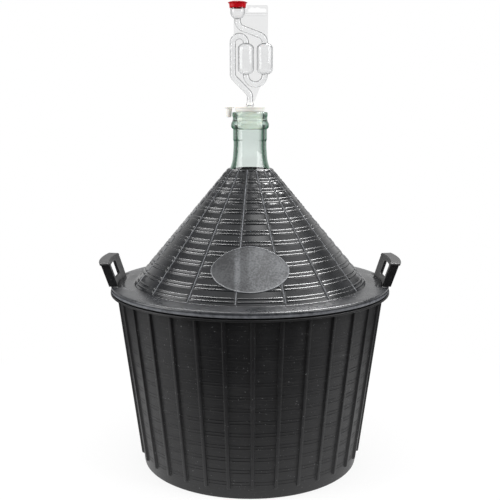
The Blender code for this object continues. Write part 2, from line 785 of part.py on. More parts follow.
def tube(route, radii, sides):
    """A tube along a route of (x, z) points in the plane y = 0, with a radius at each point."""
    rings = []
    for i, (x, z) in enumerate(route):
        before = route[max(i - 1, 0)]
        after = route[min(i + 1, len(route) - 1)]
        along = Vector((after[0] - before[0], 0, after[1] - before[1])).normalized()
        across = Vector((along.z, 0, -along.x))
        ring = []
        for side in range(sides):
            angle = 2 * math.pi * (side + 0.5) / sides
            ring.append(
                Vector((x, 0, z))
                + across * radii[i] * math.cos(angle)
                + Vector((0, radii[i] * math.sin(angle), 0))
            )
        rings.append(ring)
    return bridged(rings)


def rounded_corner(before, corner, after, radius):
    """Points of the arc that rounds off one corner of a route, both its ends included."""
    corner = Vector(corner)
    towards = (Vector(before) - corner).normalized()
    away = (Vector(after) - corner).normalized()
    half_angle = towards.angle(away) / 2
    middle = corner + (towards + away).normalized() * radius / math.sin(half_angle)
    first = corner + towards * radius / math.tan(half_angle) - middle
    last = corner + away * radius / math.tan(half_angle) - middle
    points = []
    for step in range(CORNER_STEPS + 1):
        point = middle + radius * first.slerp(last, step / CORNER_STEPS).normalized()
        points.append((point.x, point.y))
    return points


def upper_route():
    """From inside the cup, down and across to the top of the right bulb."""
    start = (CUP_OFFSET, STEM_Z + CUP_BOTTOM_RISE + CUP_RADIUS / 2)
    left, right = [
        (x, STEM_Z + rise)
        for x, rise in zip((CUP_OFFSET, BULB_RIGHT_OFFSET), UPPER_CORNER_RISES)
    ]
    end = (BULB_RIGHT_OFFSET, STEM_Z + BULB_LOW_RISE + BULB_LENGTH - BULB_END)
    route = [start] + rounded_corner(start, left, right, UPPER_BEND_RADIUS)
    return route + rounded_corner(left, right, end, UPPER_BEND_RADIUS) + [end]


def bulb_bend_route():
    """The U bend that joins the two bulbs at their feet."""
    low_z = STEM_Z + BULB_LOW_RISE
    radius = (BULB_RIGHT_OFFSET - BULB_LEFT_OFFSET) / 2
    middle = (BULB_RIGHT_OFFSET + BULB_LEFT_OFFSET) / 2
    start = (BULB_RIGHT_OFFSET, low_z + BULB_END)
    end = (BULB_LEFT_OFFSET, low_z + BULB_END)
    bend = arc((middle, low_z), radius, 0, -math.pi, BEND_STEPS)
    return [start, (BULB_RIGHT_OFFSET, low_z)] + bend + [end]


def lower_route():
    """From the top of the left bulb over into the leg, then across to the stem and down to its tip."""
    top_z = STEM_Z + BULB_LOW_RISE + BULB_LENGTH
    radius = (BULB_LEFT_OFFSET - LEG_OFFSET) / 2
    middle = (BULB_LEFT_OFFSET + LEG_OFFSET) / 2
    route = [(BULB_LEFT_OFFSET, top_z - BULB_END), (BULB_LEFT_OFFSET, top_z)]
    route += arc((middle, top_z), radius, 0, math.pi, BEND_STEPS)
    leg_top = route[-1]
    leg_corner = (LEG_OFFSET, STEM_Z + LEG_CORNER_RISE)
    stem_corner = (0, STEM_Z + STEM_RISE)
    end = (0, STEM_Z)
    route += rounded_corner(leg_top, leg_corner, stem_corner, LEG_BEND_RADIUS)
    return route + rounded_corner(leg_corner, stem_corner, end, STEM_BEND_RADIUS) + [end]


def bulb_profile(radius, inset):
    """One rounded bulb, solid to the axis; inset moves its ends inwards."""
    low_z = STEM_Z + BULB_LOW_RISE + inset
    high_z = STEM_Z + BULB_LOW_RISE + BULB_LENGTH - inset
    points = [(0, low_z)]
    for step in range(1, BULB_END_STEPS + 1):
        angle = math.pi / 2 * step / BULB_END_STEPS
        points.append((radius * math.sin(angle), low_z + BULB_END * (1 - math.cos(angle))))
    upper = [(r, low_z + high_z - z) for r, z in reversed(points)]
    return points + upper


def cup_outline(radius, inset, top_z):
    """One side of the cup, from the bottom of its round end up to its rim."""
    low_z = STEM_Z + CUP_BOTTOM_RISE + inset
    points = []
    for step in range(CUP_BOTTOM_STEPS + 1):
        angle = math.pi / 2 * step / CUP_BOTTOM_STEPS
        points.append((radius * math.sin(angle), low_z + radius * (1 - math.cos(angle))))
    return points + [(radius, top_z)]


def web_shape():
    """The flat plate that ties the tubes together, with a step that leaves room for the cap."""
    step_x = CUP_OFFSET + CAP_OUTER_RADIUS + SIDE_GAP
    step_z = CAP_SKIRT_LOW_Z - SIDE_GAP
    outline = [
        (step_x, STEM_Z + WEB_TOP_RISE),
        (step_x, step_z),
        (WEB_LEFT, step_z),
        (WEB_LEFT, STEM_Z + LEG_CORNER_RISE),
        (0, STEM_Z + STEM_RISE),
        (0, STEM_Z + WEB_LOW_RISE),
        (WEB_LOW_RIGHT, STEM_Z + WEB_LOW_RISE),
        (WEB_RIGHT, STEM_Z + WEB_SIDE_LOW_RISE),
        (WEB_RIGHT, STEM_Z + WEB_TOP_RISE),
    ]
    rings = [
        [Vector((x, side * WEB_THICKNESS / 2, z)) for x, z in outline] for side in (-1, 1)
    ]
    return bridged(rings)


def slot_cutter():
    """The hanger slot through the web, with round ends."""
    half = SLOT_HEIGHT / 2
    left = (SLOT_LEFT + half, STEM_Z + SLOT_RISE + half)
    right = (SLOT_RIGHT - half, STEM_Z + SLOT_RISE + half)
    outline = [(left[0], left[1] + half)]
    outline += arc(left, half, math.pi / 2, 3 * math.pi / 2, BEND_STEPS)
    outline += [(right[0], right[1] - half)]
    outline += arc(right, half, -math.pi / 2, math.pi / 2, BEND_STEPS)
    reach = WEB_THICKNESS / 2 + CUT_OVERRUN
    rings = [[Vector((x, side * reach, z)) for x, z in outline] for side in (-1, 1)]
    return bridged(rings)


def make_airlock(material):
    stem_tip_z = STEM_Z - STEM_INSERTION
    collar_half = STEM_COLLAR_HEIGHT / 2
    stem_outer = [
        (0, stem_tip_z),
        (STEM_TIP_RADIUS, stem_tip_z),
        (TUBE_RADIUS, STEM_Z - SEAT_GAP),
        (STEM_COLLAR_RADIUS, STEM_Z),
        (STEM_COLLAR_RADIUS, STEM_Z + collar_half),
        (TUBE_RADIUS, STEM_Z + STEM_COLLAR_HEIGHT),
        (0, STEM_Z + STEM_COLLAR_HEIGHT),
    ]
    airlock = make_object(
        "airlock_body", turned(stem_outer, SMALL_STEPS), material, (0, 0, STEM_Z)
    )
    routes = [upper_route(), bulb_bend_route(), lower_route()]
    turned_parts = [
        turned(bulb_profile(BULB_RADIUS, 0), SMALL_STEPS, centre=(x, 0))
        for x in (BULB_RIGHT_OFFSET, BULB_LEFT_OFFSET)
    ]
    solids = {"web_shape": web_shape()}
    for number, route in enumerate(routes):
        solids[f"tube_shape_{number}"] = tube(route, [TUBE_RADIUS] * len(route), TUBE_SIDES)
    for number, part in enumerate(turned_parts):
        solids[f"bulb_shape_{number}"] = part
    for name, shape in solids.items():
        combine(airlock, make_helper(name, shape), "UNION")

    hollow = TUBE_RADIUS - TUBE_WALL
    tip_hollow = STEM_TIP_RADIUS - TUBE_WALL
    cuts = {}
    for number, route in enumerate(routes):
        radii = [hollow] * len(route)
        if number == len(routes) - 1:
            route = route + [(0, stem_tip_z - CUT_OVERRUN)]
            radii.append(tip_hollow)
        cuts[f"tube_hollow_{number}"] = tube(route, radii, TUBE_SIDES)
    for number, x in enumerate((BULB_RIGHT_OFFSET, BULB_LEFT_OFFSET)):
        cuts[f"bulb_hollow_{number}"] = turned(
            bulb_profile(BULB_RADIUS - BULB_WALL, BULB_WALL), SMALL_STEPS, centre=(x, 0)
        )
    room_top_z = CUP_RIM_Z + CUT_OVERRUN
    cup_room = cup_outline(CUP_RADIUS + SEAT_GAP, -SEAT_GAP, room_top_z) + [(0, room_top_z)]
    cuts["cup_room"] = turned(cup_room, SMALL_STEPS, centre=(CUP_OFFSET, 0))
    cuts["slot_cut"] = slot_cutter()
    for name, shape in cuts.items():
        combine(airlock, make_helper(name, shape), "DIFFERENCE")
    return airlock


def make_cup(material):
    """The cup on the upper tube, with a hole at its bottom as wide as the tube's bore."""
    hole = TUBE_RADIUS - TUBE_WALL
    sides = []
    for radius, inset in ((CUP_RADIUS, 0), (CUP_RADIUS - CUP_WALL, CUP_WALL)):
        (_, low_z), (next_radius, next_z), *rest = cup_outline(radius, inset, CUP_RIM_Z)
        edge = (hole, low_z + (next_z - low_z) * hole / next_radius)
        sides.append([edge, (next_radius, next_z)] + rest)
    outside, inside = sides
    return make_object(
        "airlock_cup",
        turned(outside + inside[::-1], SMALL_STEPS, (CUP_OFFSET, 0), closed=True),
        material,
        (CUP_OFFSET, 0, STEM_Z + CUP_BOTTOM_RISE),
    )


def make_cap(material):
    """The dust cap: a shallow cup with a brim, upside down over the airlock's cup."""
    ceiling_z = CUP_RIM_Z + SEAT_GAP
    brim_low_z = CAP_TOP_Z - CAP_BRIM_THICKNESS
    profile = [
        (0, ceiling_z),
        (CAP_INNER_RADIUS, ceiling_z),
        (CAP_INNER_RADIUS, CAP_SKIRT_LOW_Z),
        (CAP_OUTER_RADIUS, CAP_SKIRT_LOW_Z),
        (CAP_OUTER_RADIUS + CAP_BRIM_FLARE, brim_low_z),
        (CAP_BRIM_RADIUS, brim_low_z),
        (CAP_BRIM_RADIUS, CAP_TOP_Z),
        (0, CAP_TOP_Z),
    ]
    return make_object(
        "airlock_cap",
        turned(profile, BUNG_STEPS, centre=(CUP_OFFSET, 0)),
        material,
        (CUP_OFFSET, 0, ceiling_z),
    )


def main():
    clear_scene()
    tub_plastic = make_material("tub_plastic", (0.030, 0.031, 0.034), 0.55)
    cover_plastic = make_material("cover_plastic", (0.042, 0.044, 0.048), 0.32)
    green_glass = make_material("green_glass", (0.78, 0.90, 0.86), 0.03, transmission=1.0)
    white_rubber = make_material("white_rubber", (0.80, 0.79, 0.74), 0.5)
    clear_plastic = make_material("clear_plastic", (0.93, 0.94, 0.95), 0.08, transmission=1.0)
    red_plastic = make_material("red_plastic", (0.72, 0.03, 0.05), 0.35)
    make_tub(tub_plastic)
    make_handles(tub_plastic)
    make_cover(cover_plastic)
    make_glass(green_glass)
    make_bung(white_rubber)
    make_plug(white_rubber)
    make_airlock(clear_plastic)
    make_cup(clear_plastic)
    make_cap(red_plastic)


main()
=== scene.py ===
import math

import bmesh
import bpy
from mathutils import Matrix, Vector


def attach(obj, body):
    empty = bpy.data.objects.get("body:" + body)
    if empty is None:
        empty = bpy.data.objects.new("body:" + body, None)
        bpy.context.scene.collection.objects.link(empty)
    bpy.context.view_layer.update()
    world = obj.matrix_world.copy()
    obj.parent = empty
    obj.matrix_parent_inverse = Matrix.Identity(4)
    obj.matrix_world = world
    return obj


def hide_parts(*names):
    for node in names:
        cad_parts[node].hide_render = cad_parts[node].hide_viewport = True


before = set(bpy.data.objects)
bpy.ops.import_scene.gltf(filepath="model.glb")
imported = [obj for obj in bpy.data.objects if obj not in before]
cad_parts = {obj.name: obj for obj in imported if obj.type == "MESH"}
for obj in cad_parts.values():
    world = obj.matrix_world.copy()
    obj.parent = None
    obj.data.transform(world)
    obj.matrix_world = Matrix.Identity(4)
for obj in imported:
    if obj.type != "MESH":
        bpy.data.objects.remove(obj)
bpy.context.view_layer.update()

print("frame loaded:", len(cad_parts), "nodes")

turn = 2 * math.pi


# Small helpers

def startPiece(name, add, **options):
    # every piece starts from a primitive, with nothing else selected
    bpy.ops.object.select_all(action="DESELECT")
    add(**options)
    piece = bpy.context.object
    piece.name = name
    piece.data.name = name
    return piece


def startDisc(name, corners, radius):
    disc = {"vertices": corners, "radius": radius, "fill_type": "NGON"}
    return startPiece(name, bpy.ops.mesh.primitive_circle_add, **disc)


def pickOnly(piece):
    bpy.ops.object.select_all(action="DESELECT")
    piece.select_set(True)
    bpy.context.view_layer.objects.active = piece


def applyModifier(piece, kind, **options):
    pickOnly(piece)
    modifier = piece.modifiers.new(kind.title(), kind)
    for key, value in options.items():
        setattr(modifier, key, value)
    bpy.ops.object.modifier_apply(modifier=modifier.name)


def editPiece(piece, kind="VERT"):
    pickOnly(piece)
    bpy.ops.object.mode_set(mode="EDIT")
    bpy.ops.mesh.select_mode(type=kind)
    bpy.ops.mesh.select_all(action="SELECT")


def leaveEdit(piece, smoothAngle=35):
    # turns all faces outwards on the way out
    bpy.ops.mesh.select_all(action="SELECT")
    bpy.ops.mesh.normals_make_consistent(inside=False)
    bpy.ops.object.mode_set(mode="OBJECT")
    pickOnly(piece)
    bpy.ops.object.shade_smooth_by_angle(angle=math.radians(smoothAngle))


def turnProfile(name, points, steps, middle=(0, 0), closed=False, angle=turn, smoothAngle=35):
    # a plane shrunk to one point, extruded along the profile and spun about the axis
    piece = startPiece(name, bpy.ops.mesh.primitive_plane_add, size=0.01)
    editPiece(piece)
    bpy.ops.mesh.merge(type="CENTER")
    bpy.ops.transform.translate(value=(middle[0] + points[0][0], middle[1], points[0][1]))
    for before, after in zip(points, points[1:]):
        move = (after[0] - before[0], 0, after[1] - before[1])
        bpy.ops.mesh.extrude_vertices_move(TRANSFORM_OT_translate={"value": move})
    if closed:
        joinEnds(piece)
    bpy.ops.mesh.select_all(action="SELECT")
    bpy.ops.mesh.spin(steps=steps, angle=angle, center=(*middle, 0), axis=(0, 0, 1))
    bpy.ops.mesh.select_all(action="SELECT")
    bpy.ops.mesh.remove_doubles(threshold=1e-6)
    leaveEdit(piece, smoothAngle)
    return piece


def joinEnds(piece):
    # closes the open profile into a loop
    shape = bmesh.from_edit_mesh(piece.data)
    ends = [vert for vert in shape.verts if len(vert.link_edges) == 1]
    shape.edges.new(ends)
    bmesh.update_edit_mesh(piece.data)


def spread(start, end, count):
    # count steps from start to end, without the start itself
    return [start + (end - start) * (i + 1) / count for i in range(count)]


def roundCorner(middle, radius, fromAngle, toAngle, count):
    # points of an arc in (radius, height), angles in degrees
    points = []
    for i in range(count + 1):
        around = math.radians(fromAngle + (toAngle - fromAngle) * i / count)
        points.append((middle[0] + radius * math.cos(around), middle[1] + radius * math.sin(around)))
    return points


def softStep(low, high, value):
    share = min(1, max(0, (value - low) / (high - low)))
    return share * share * (3 - 2 * share)


def alongTable(table, value):
    # straight lines between (place, height) pairs
    if value <= table[0][0]:
        return table[0][1]
    for (x0, y0), (x1, y1) in zip(table, table[1:]):
        if value <= x1:
            return y0 + (y1 - y0) * (value - x0) / (x1 - x0)
    return table[-1][1]


def deform(piece, move):
    # puts every vertex where move(x, y, z) says
    for vert in piece.data.vertices:
        vert.co = move(*vert.co)
    piece.data.update()


def findColumn(x, y, sectors, turned, columns, fields):
    # where a turned piece's vertex goes: a sector has columns at set distances from its line, closer
    # together within 30 mm of the axis, then even ones up to the next line, placed by their share of the
    # way; gives the angle, the distance to the nearest line and the share
    radius, step, each = math.hypot(x, y), turn / sectors, len(columns) + fields
    sector, place = divmod(round(math.atan2(y, x) / turn * each * sectors) % (each * sectors), each)
    around = max(radius, 0.03)
    share = max(0, place - len(columns) + 1) / (fields + 1)
    edge = columns[-1] / around
    angle = edge + (step - 2 * edge) * share if share else columns[place] / around
    across = (angle if angle < step / 2 else angle - step) * radius
    return angle + math.radians(turned - 90) + sector / sectors * turn, across, share


def joinPieces(piece, others):
    pickOnly(piece)
    for other in others:
        other.select_set(True)
    bpy.ops.object.join()


def cutWith(piece, cutter, operation="DIFFERENCE"):
    applyModifier(piece, "BOOLEAN", object=cutter, operation=operation, solver="EXACT")
    bpy.data.objects.remove(cutter, do_unlink=True)


def dress(piece, body, nodes, material):
    if material:
        piece.data.materials.clear()
        piece.data.materials.append(material)
    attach(piece, body)
    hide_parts(*nodes)
    print("made", piece.name, len(piece.data.polygons), "faces")


# Materials

def startMaterial(name):
    material = bpy.data.materials.new(name)
    material.use_nodes = True
    tree = material.node_tree
    shader = tree.nodes["Principled BSDF"]
    place = tree.nodes.new("ShaderNodeTexCoord")
    return material, tree, shader, place


def setInputs(node, values):
    for name, value in values.items():
        node.inputs[name].default_value = value


def addNoise(tree, place, scale, detail=3, roughness=0.5, stretch=None):
    texture = tree.nodes.new("ShaderNodeTexNoise")
    setInputs(texture, {"Scale": scale, "Detail": detail, "Roughness": roughness})
    source = place.outputs["Object"]
    if stretch:
        mapping = tree.nodes.new("ShaderNodeMapping")
        mapping.inputs["Scale"].default_value = stretch
        tree.links.new(source, mapping.inputs["Vector"])
        source = mapping.outputs["Vector"]
    tree.links.new(source, texture.inputs["Vector"])
    return texture.outputs["Fac"]


def addRange(tree, value, fromLow, fromHigh, toLow, toHigh):
    node = tree.nodes.new("ShaderNodeMapRange")
    setInputs(node, {"From Min": fromLow, "From Max": fromHigh, "To Min": toLow, "To Max": toHigh})
    tree.links.new(value, node.inputs["Value"])
    return node.outputs["Result"]


def addColours(tree, value, stops):
    ramp = tree.nodes.new("ShaderNodeValToRGB")
    elements = ramp.color_ramp.elements
    while len(elements) < len(stops):
        elements.new(0.5)
    for element, (place, colour) in zip(elements, stops):
        element.position = place
        element.color = (*colour, 1)
    tree.links.new(value, ramp.inputs["Fac"])
    return ramp.outputs["Color"]


def addMath(tree, kind, first, second):
    node = tree.nodes.new("ShaderNodeMath")
    node.operation = kind
    for socket, value in zip(node.inputs, (first, second)):
        if isinstance(value, (int, float)):
            socket.default_value = value
        else:
            tree.links.new(value, socket)
    return node.outputs["Value"]


def times(tree, first, second):
    return addMath(tree, "MULTIPLY", first, second)


def plus(tree, first, second):
    return addMath(tree, "ADD", first, second)


def addFacing(tree):
    # 0 where the surface faces the eye, 1 where it is seen edge on
    weight = tree.nodes.new("ShaderNodeLayerWeight")
    return weight.outputs["Facing"]


def addBump(tree, height, strength, distance, before=None):
    bump = tree.nodes.new("ShaderNodeBump")
    setInputs(bump, {"Strength": strength, "Distance": distance})
    tree.links.new(height, bump.inputs["Height"])
    if before:
        tree.links.new(before, bump.inputs["Normal"])
    return bump.outputs["Normal"]


def addVector(tree, kind, source, by=(1, 1, 1)):
    node = tree.nodes.new("ShaderNodeVectorMath")
    node.operation = kind
    node.inputs[1].default_value = by
    tree.links.new(source, node.inputs[0])
    return node.outputs


def addWearAndSheen(tree):
    # how rubbed a vertex is, and how much painted reflection and painted highlight it carries, as its piece
    # has noted it
    node = tree.nodes.new("ShaderNodeAttribute")
    node.attribute_name = "wearAndSheen"
    return node.outputs["Fac"]


def setSurface(tree, shader, colour, rough, normal):
    for name, value in (("Base Color", colour), ("Roughness", rough), ("Normal", normal)):
        tree.links.new(value, shader.inputs[name])


tubFinish = {
    "dark": (0.005, 0.005, 0.006),
    "light": (0.014, 0.014, 0.015),
    "roughness": (0.36, 0.52),
    "speck": (0.16, 0.16, 0.165),
    "grain": 0.00012,
}


def makeTubPlastic():
    # semi-matt black plastic: fine grain, pale specks, flow marks up the wall and streaks round it
    material, tree, shader, place = startMaterial("tubPlastic")
    cloud = addNoise(tree, place, 9, 5, 0.6)
    flow = addNoise(tree, place, 14, 3, 0.6, stretch=(1, 1, 0.08))
    streak = addNoise(tree, place, 620, 4, 0.7, stretch=(0.04, 0.04, 1))
    speck = addNoise(tree, place, 420, 1, 0.4)
    grain = addNoise(tree, place, 1100, 2, 0.6)
    mixed = plus(tree, times(tree, cloud, 0.4), times(tree, flow, 0.3))
    mixed = plus(tree, mixed, times(tree, streak, 0.5))
    bright = addRange(tree, speck, 0.72, 0.80, 0, 0.5)
    mixed = plus(tree, mixed, bright)
    stops = [(0.48, tubFinish["dark"]), (0.72, tubFinish["light"]), (1.0, tubFinish["speck"])]
    rough = addRange(tree, cloud, 0.3, 0.7, *tubFinish["roughness"])
    normal = addBump(tree, grain, 0.5, tubFinish["grain"])
    normal = addBump(tree, speck, 0.25, 0.0003, normal)
    normal = addBump(tree, flow, 0.35, 0.0006, normal)
    normal = addBump(tree, streak, 0.60, 0.0005, normal)
    setSurface(tree, shader, addColours(tree, mixed, stops), rough, normal)
    return material


coverFinish = {
    "dark": (0.005, 0.006, 0.007),
    "light": (0.012, 0.013, 0.016),
    "wornAndSheen": (0.24, 0.25, 0.27),
    "roughness": (0.20, 0.32),
}


def makeCoverPlastic():
    # satin black moulding with cloudy gloss, soft dents and thin rubbed scratches, paler on the rubbed
    # upright lines, with painted reflection on the flange and painted highlight on the rim and skirt
    material, tree, shader, place = startMaterial("coverPlastic")
    cloud = addNoise(tree, place, 12, 4, 0.55)
    patch = addNoise(tree, place, 38, 4, 0.65)
    dent = addNoise(tree, place, 45, 1, 0.4)
    grain = addNoise(tree, place, 900, 2, 0.5)
    scratch = addNoise(tree, place, 60, 2, 0.4, stretch=(1, 0.12, 1.6))
    line = addRange(tree, scratch, 0.495, 0.505, 0, 1)
    line = times(tree, line, addMath(tree, "SUBTRACT", 1, line))
    tone = addRange(tree, patch, 0.35, 0.7, 0, 0.1)
    mottle = addNoise(tree, place, 130, 5, 0.7)
    # wear on the upright lines; painted reflection and painted highlight on the flange, rim and skirt, all in
    # the same attribute
    wornAndSheen = times(tree, addWearAndSheen(tree), addRange(tree, mottle, 0.36, 0.66, 0.5, 1))
    tone = plus(tree, tone, times(tree, wornAndSheen, 0.9))
    stops = [(0, coverFinish["dark"]), (0.1, coverFinish["light"]), (1, coverFinish["wornAndSheen"])]
    rough = addRange(tree, cloud, 0.35, 0.68, *coverFinish["roughness"])
    rough = plus(tree, rough, times(tree, line, 0.25))
    rough = plus(tree, rough, times(tree, wornAndSheen, 0.2))
    normal = addBump(tree, dent, 0.03, 0.0014)
    normal = addBump(tree, grain, 0.04, 0.00006, normal)
    setSurface(tree, shader, addColours(tree, tone, stops), rough, normal)
    return material


plateFinish = {
    "dark": (0.006, 0.006, 0.007),
    "middle": (0.155, 0.161, 0.170),
    "pale": (0.30, 0.31, 0.33),
    "roughness": (0.30, 0.42),
    "reach": 0.07,
    # upright bands of painted highlight and painted shade, darker at the left and brighter at the right
    "paintedSheenBands": [
        (0, 0.35), (0.30, 0.42), (0.33, 0.95), (0.37, 0.90), (0.39, 0.50),
        (0.45, 0.48), (0.50, 0.80), (0.85, 1.0), (1, 0.8),
    ],
}


def makePlatePlastic():
    # finely mottled, and paler than the cone round it by a painted sheen, in upright bands of painted
    # highlight and painted shade, with a painted highlight along its rim
    material, tree, shader, place = startMaterial("platePlastic")
    cloud = addNoise(tree, place, 22, 4, 0.55)
    mottle = addNoise(tree, place, 300, 4, 0.65)
    grain = addNoise(tree, place, 1000, 2, 0.5)
    mixed = plus(tree, times(tree, cloud, 0.4), times(tree, mottle, 0.6))
    split = tree.nodes.new("ShaderNodeSeparateXYZ")
    tree.links.new(place.outputs["Object"], split.inputs[0])
    # painted highlight and painted shade in upright bands across the plate
    across = addRange(tree, split.outputs["X"], -plateFinish["reach"], plateFinish["reach"], 0, 1)
    paintedSheenBands = addColours(tree, across, [(stop, (share,) * 3) for stop, share in plateFinish["paintedSheenBands"]])
    tone = times(tree, addRange(tree, mixed, 0.42, 0.58, 0.40, 1.1), paintedSheenBands)
    # painted highlight along the top of the rim
    tone = plus(tree, times(tree, tone, 0.5), times(tree, addWearAndSheen(tree), 0.4))
    stops = [(0, plateFinish["dark"]), (0.5, plateFinish["middle"]), (1, plateFinish["pale"])]
    rough = addRange(tree, mixed, 0.35, 0.65, *plateFinish["roughness"])
    normal = addBump(tree, grain, 0.35, 0.00008)
    normal = addBump(tree, mottle, 0.30, 0.0006, normal)
    setSurface(tree, shader, addColours(tree, tone, stops), rough, normal)
    return material


glassFinish = {
    "clear": (0.97, 0.99, 0.98),
    # painted shade for the dark surroundings seen through the walls edge on
    "edge": (0.03, 0.10, 0.055),
    "absorbed": (0.24, 0.52, 0.40),
    "density": 20,
    "bending": 1.5,
}


def makeGreenGlass():
    # pale green bottle glass, greener where it is thick, and darker green where seen edge on, a painted shade
    # for the dark surroundings seen through its walls
    material, tree, shader, place = startMaterial("greenGlass")
    wave = addNoise(tree, place, 26, 2, 0.4, stretch=(1, 1, 0.45))
    # darker green edge on: painted shade for the dark surroundings seen through the walls
    paintedEdgeShade = addRange(tree, addFacing(tree), 0.22, 0.55, 0, 1)
    colour = addColours(tree, paintedEdgeShade, [(0, glassFinish["clear"]), (1, glassFinish["edge"])])
    rough = addRange(tree, wave, 0.3, 0.7, 0.0, 0.025)
    setSurface(tree, shader, colour, rough, addBump(tree, wave, 0.25, 0.0012))
    setInputs(shader, {"Transmission Weight": 1, "IOR": glassFinish["bending"]})
    depth = tree.nodes.new("ShaderNodeVolumeAbsorption")
    setInputs(depth, {"Color": (*glassFinish["absorbed"], 1), "Density": glassFinish["density"]})
    tree.links.new(depth.outputs["Volume"], tree.nodes["Material Output"].inputs["Volume"])
    return material


rubberFinish = {
    "dark": (0.83, 0.81, 0.76),
    "light": (0.90, 0.88, 0.84),
    "roughness": (0.45, 0.60),
    "translucent": 0.25,
    "depth": 0.003,
}


def makeWhiteRubber():
    # cream white rubber, slightly translucent, uneven in tone and gloss
    material, tree, shader, place = startMaterial("whiteRubber")
    cloud = addNoise(tree, place, 120, 4, 0.6)
    grain = addNoise(tree, place, 1500, 2, 0.6)
    colour = addColours(tree, cloud, [(0.3, rubberFinish["dark"]), (0.7, rubberFinish["light"])])
    rough = addRange(tree, cloud, 0.3, 0.7, *rubberFinish["roughness"])
    setSurface(tree, shader, colour, rough, addBump(tree, grain, 0.3, 0.00008))
    glow = {"Weight": rubberFinish["translucent"], "Radius": (1.0, 0.8, 0.6), "Scale": rubberFinish["depth"]}
    setInputs(shader, {"Subsurface " + name: value for name, value in glow.items()})
    return material


clearFinish = {
    "clear": (0.98, 0.983, 0.985),
    # painted shade for the outlines where the plastic is seen edge on
    "edge": (0.55, 0.56, 0.57),
    "roughness": (0.03, 0.10),
    "bending": 1.49,
}


def makeClearPlastic():
    # clear plastic with a faint haze and small flow waves, grey where seen edge on as a painted shade for its
    # outlines
    material, tree, shader, place = startMaterial("clearPlastic")
    wave = addNoise(tree, place, 90, 3, 0.5)
    # grey edge on: painted shade for the outlines
    paintedEdgeShade = addRange(tree, addFacing(tree), 0.30, 0.85, 0, 1)
    colour = addColours(tree, paintedEdgeShade, [(0, clearFinish["clear"]), (1, clearFinish["edge"])])
    rough = addRange(tree, wave, 0.3, 0.7, *clearFinish["roughness"])
    setSurface(tree, shader, colour, rough, addBump(tree, wave, 0.15, 0.0004))
    setInputs(shader, {"Transmission Weight": 1, "IOR": clearFinish["bending"]})
    return material


redFinish = {
    "dark": (0.44, 0.001, 0.006),
    "light": (0.48, 0.002, 0.009),
    "roughness": (0.26, 0.34),
    "shine": 0.12,
}


def makeRedPlastic():
    # glossy red moulding, very slightly uneven in tone
    material, tree, shader, place = startMaterial("redPlastic")
    cloud = addNoise(tree, place, 40, 2, 0.5)
    grain = addNoise(tree, place, 1400, 2, 0.5)
    colour = addColours(tree, cloud, [(0.3, redFinish["dark"]), (0.7, redFinish["light"])])
    rough = addRange(tree, cloud, 0.3, 0.7, *redFinish["roughness"])
    setSurface(tree, shader, colour, rough, addBump(tree, grain, 0.20, 0.00006))
    shader.inputs["Specular IOR Level"].default_value = redFinish["shine"]
    return material


finishes = {
    "tub": makeTubPlastic(),
    "cover": makeCoverPlastic(),
    "plate": makePlatePlastic(),
    "glass": makeGreenGlass(),
    "rubber": makeWhiteRubber(),
    "clear": makeClearPlastic(),
    "red": makeRedPlastic(),
}
print("materials ready")


# Tub: tapered wall with ribs, pairs of fine lines and a flat lip

tub = {
    "baseRadius": 0.206, "topRadius": 0.249, "wall": 0.0032,
    "lipLow": 0.3315, "lipTop": 0.3355, "lipRadius": 0.264, "upstandTop": 0.3452,
    "ribs": 32, "ribTurn": 1.1, "ribStart": 0.017, "besideRib": 0.0052,
    "lineFirst": 0.0292, "linePitch": 0.0233, "linePairs": 12,
    "lineHalf": 0.0029, "lineWide": 0.0009, "lineHigh": 0.0009,
}
ribSide = [(0, 0.0040), (0.0021, 0.0040), (0.0027, 0.0037), (0.0030, 0.0030), (0.0035, 0.0006), (0.0042, 0)]
ribPlaces = [place for place, _ in ribSide] + [tub["besideRib"]]
ribColumns = [-place for place in reversed(ribPlaces)] + ribPlaces[1:]
panelColumns = 3
sectorColumns = len(ribColumns) + panelColumns


def tubRadius(z):
    return tub["baseRadius"] + (tub["topRadius"] - tub["baseRadius"]) * z / tub["lipTop"]


def tubProfile():
    pairs = [tub["lineFirst"] + i * tub["linePitch"] for i in range(tub["linePairs"])]
    rows = [0.0045, 0.0085, 0.0115, 0.0138, 0.0155, 0.0170, 0.0180, 0.0190, 0.0202, 0.0216, 0.0232]
    for middle in pairs:
        for line in (middle - tub["lineHalf"], middle + tub["lineHalf"]):
            rows += [line + tub["lineWide"] * share for share in (-1.5, -1, 0, 1, 1.5)]
    rows += [0.305, 0.314, 0.322, 0.328, 0.3302]
    points = [(0, 0.003), (0.09, 0.003), (0.176, 0.003), (0.178, 0.0024), (0.180, 0.0003), (0.1808, 0)]
    points += [(0.2040, 0), (0.2052, 0.0003), (0.2060, 0.0010), (tubRadius(0.0020), 0.0020)]
    points += [(tubRadius(z), z) for z in rows]
    low, high, lip, upstand = tub["lipLow"], tub["lipTop"], tub["lipRadius"] - 0.001, tub["topRadius"]
    points += [(tubRadius(0.3308) + 0.0003, 0.3311), (tubRadius(0.331) + 0.0012, low), (0.256, low)]
    points += roundCorner((lip, low + 0.001), 0.001, -90, 0, 3)
    points += roundCorner((lip, high - 0.001), 0.001, 0, 90, 3)
    points += [(0.256, high), (0.2502, high), (0.2492, 0.3359), (upstand, 0.3370), (upstand, 0.3444)]
    points += [(0.2484, 0.3451), (0.2476, tub["upstandTop"]), (0.2468, 0.3451), (0.2459, 0.3444)]
    points += [(tubRadius(z) - tub["wall"], z) for z in (0.3350, 0.28, 0.20, 0.12, 0.05, 0.016, 0.0115)]
    points += [(0.2020, 0.0086), (0.1995, 0.0074), (0.1960, 0.0070), (0.10, 0.0070), (0, 0.0070)]
    return points


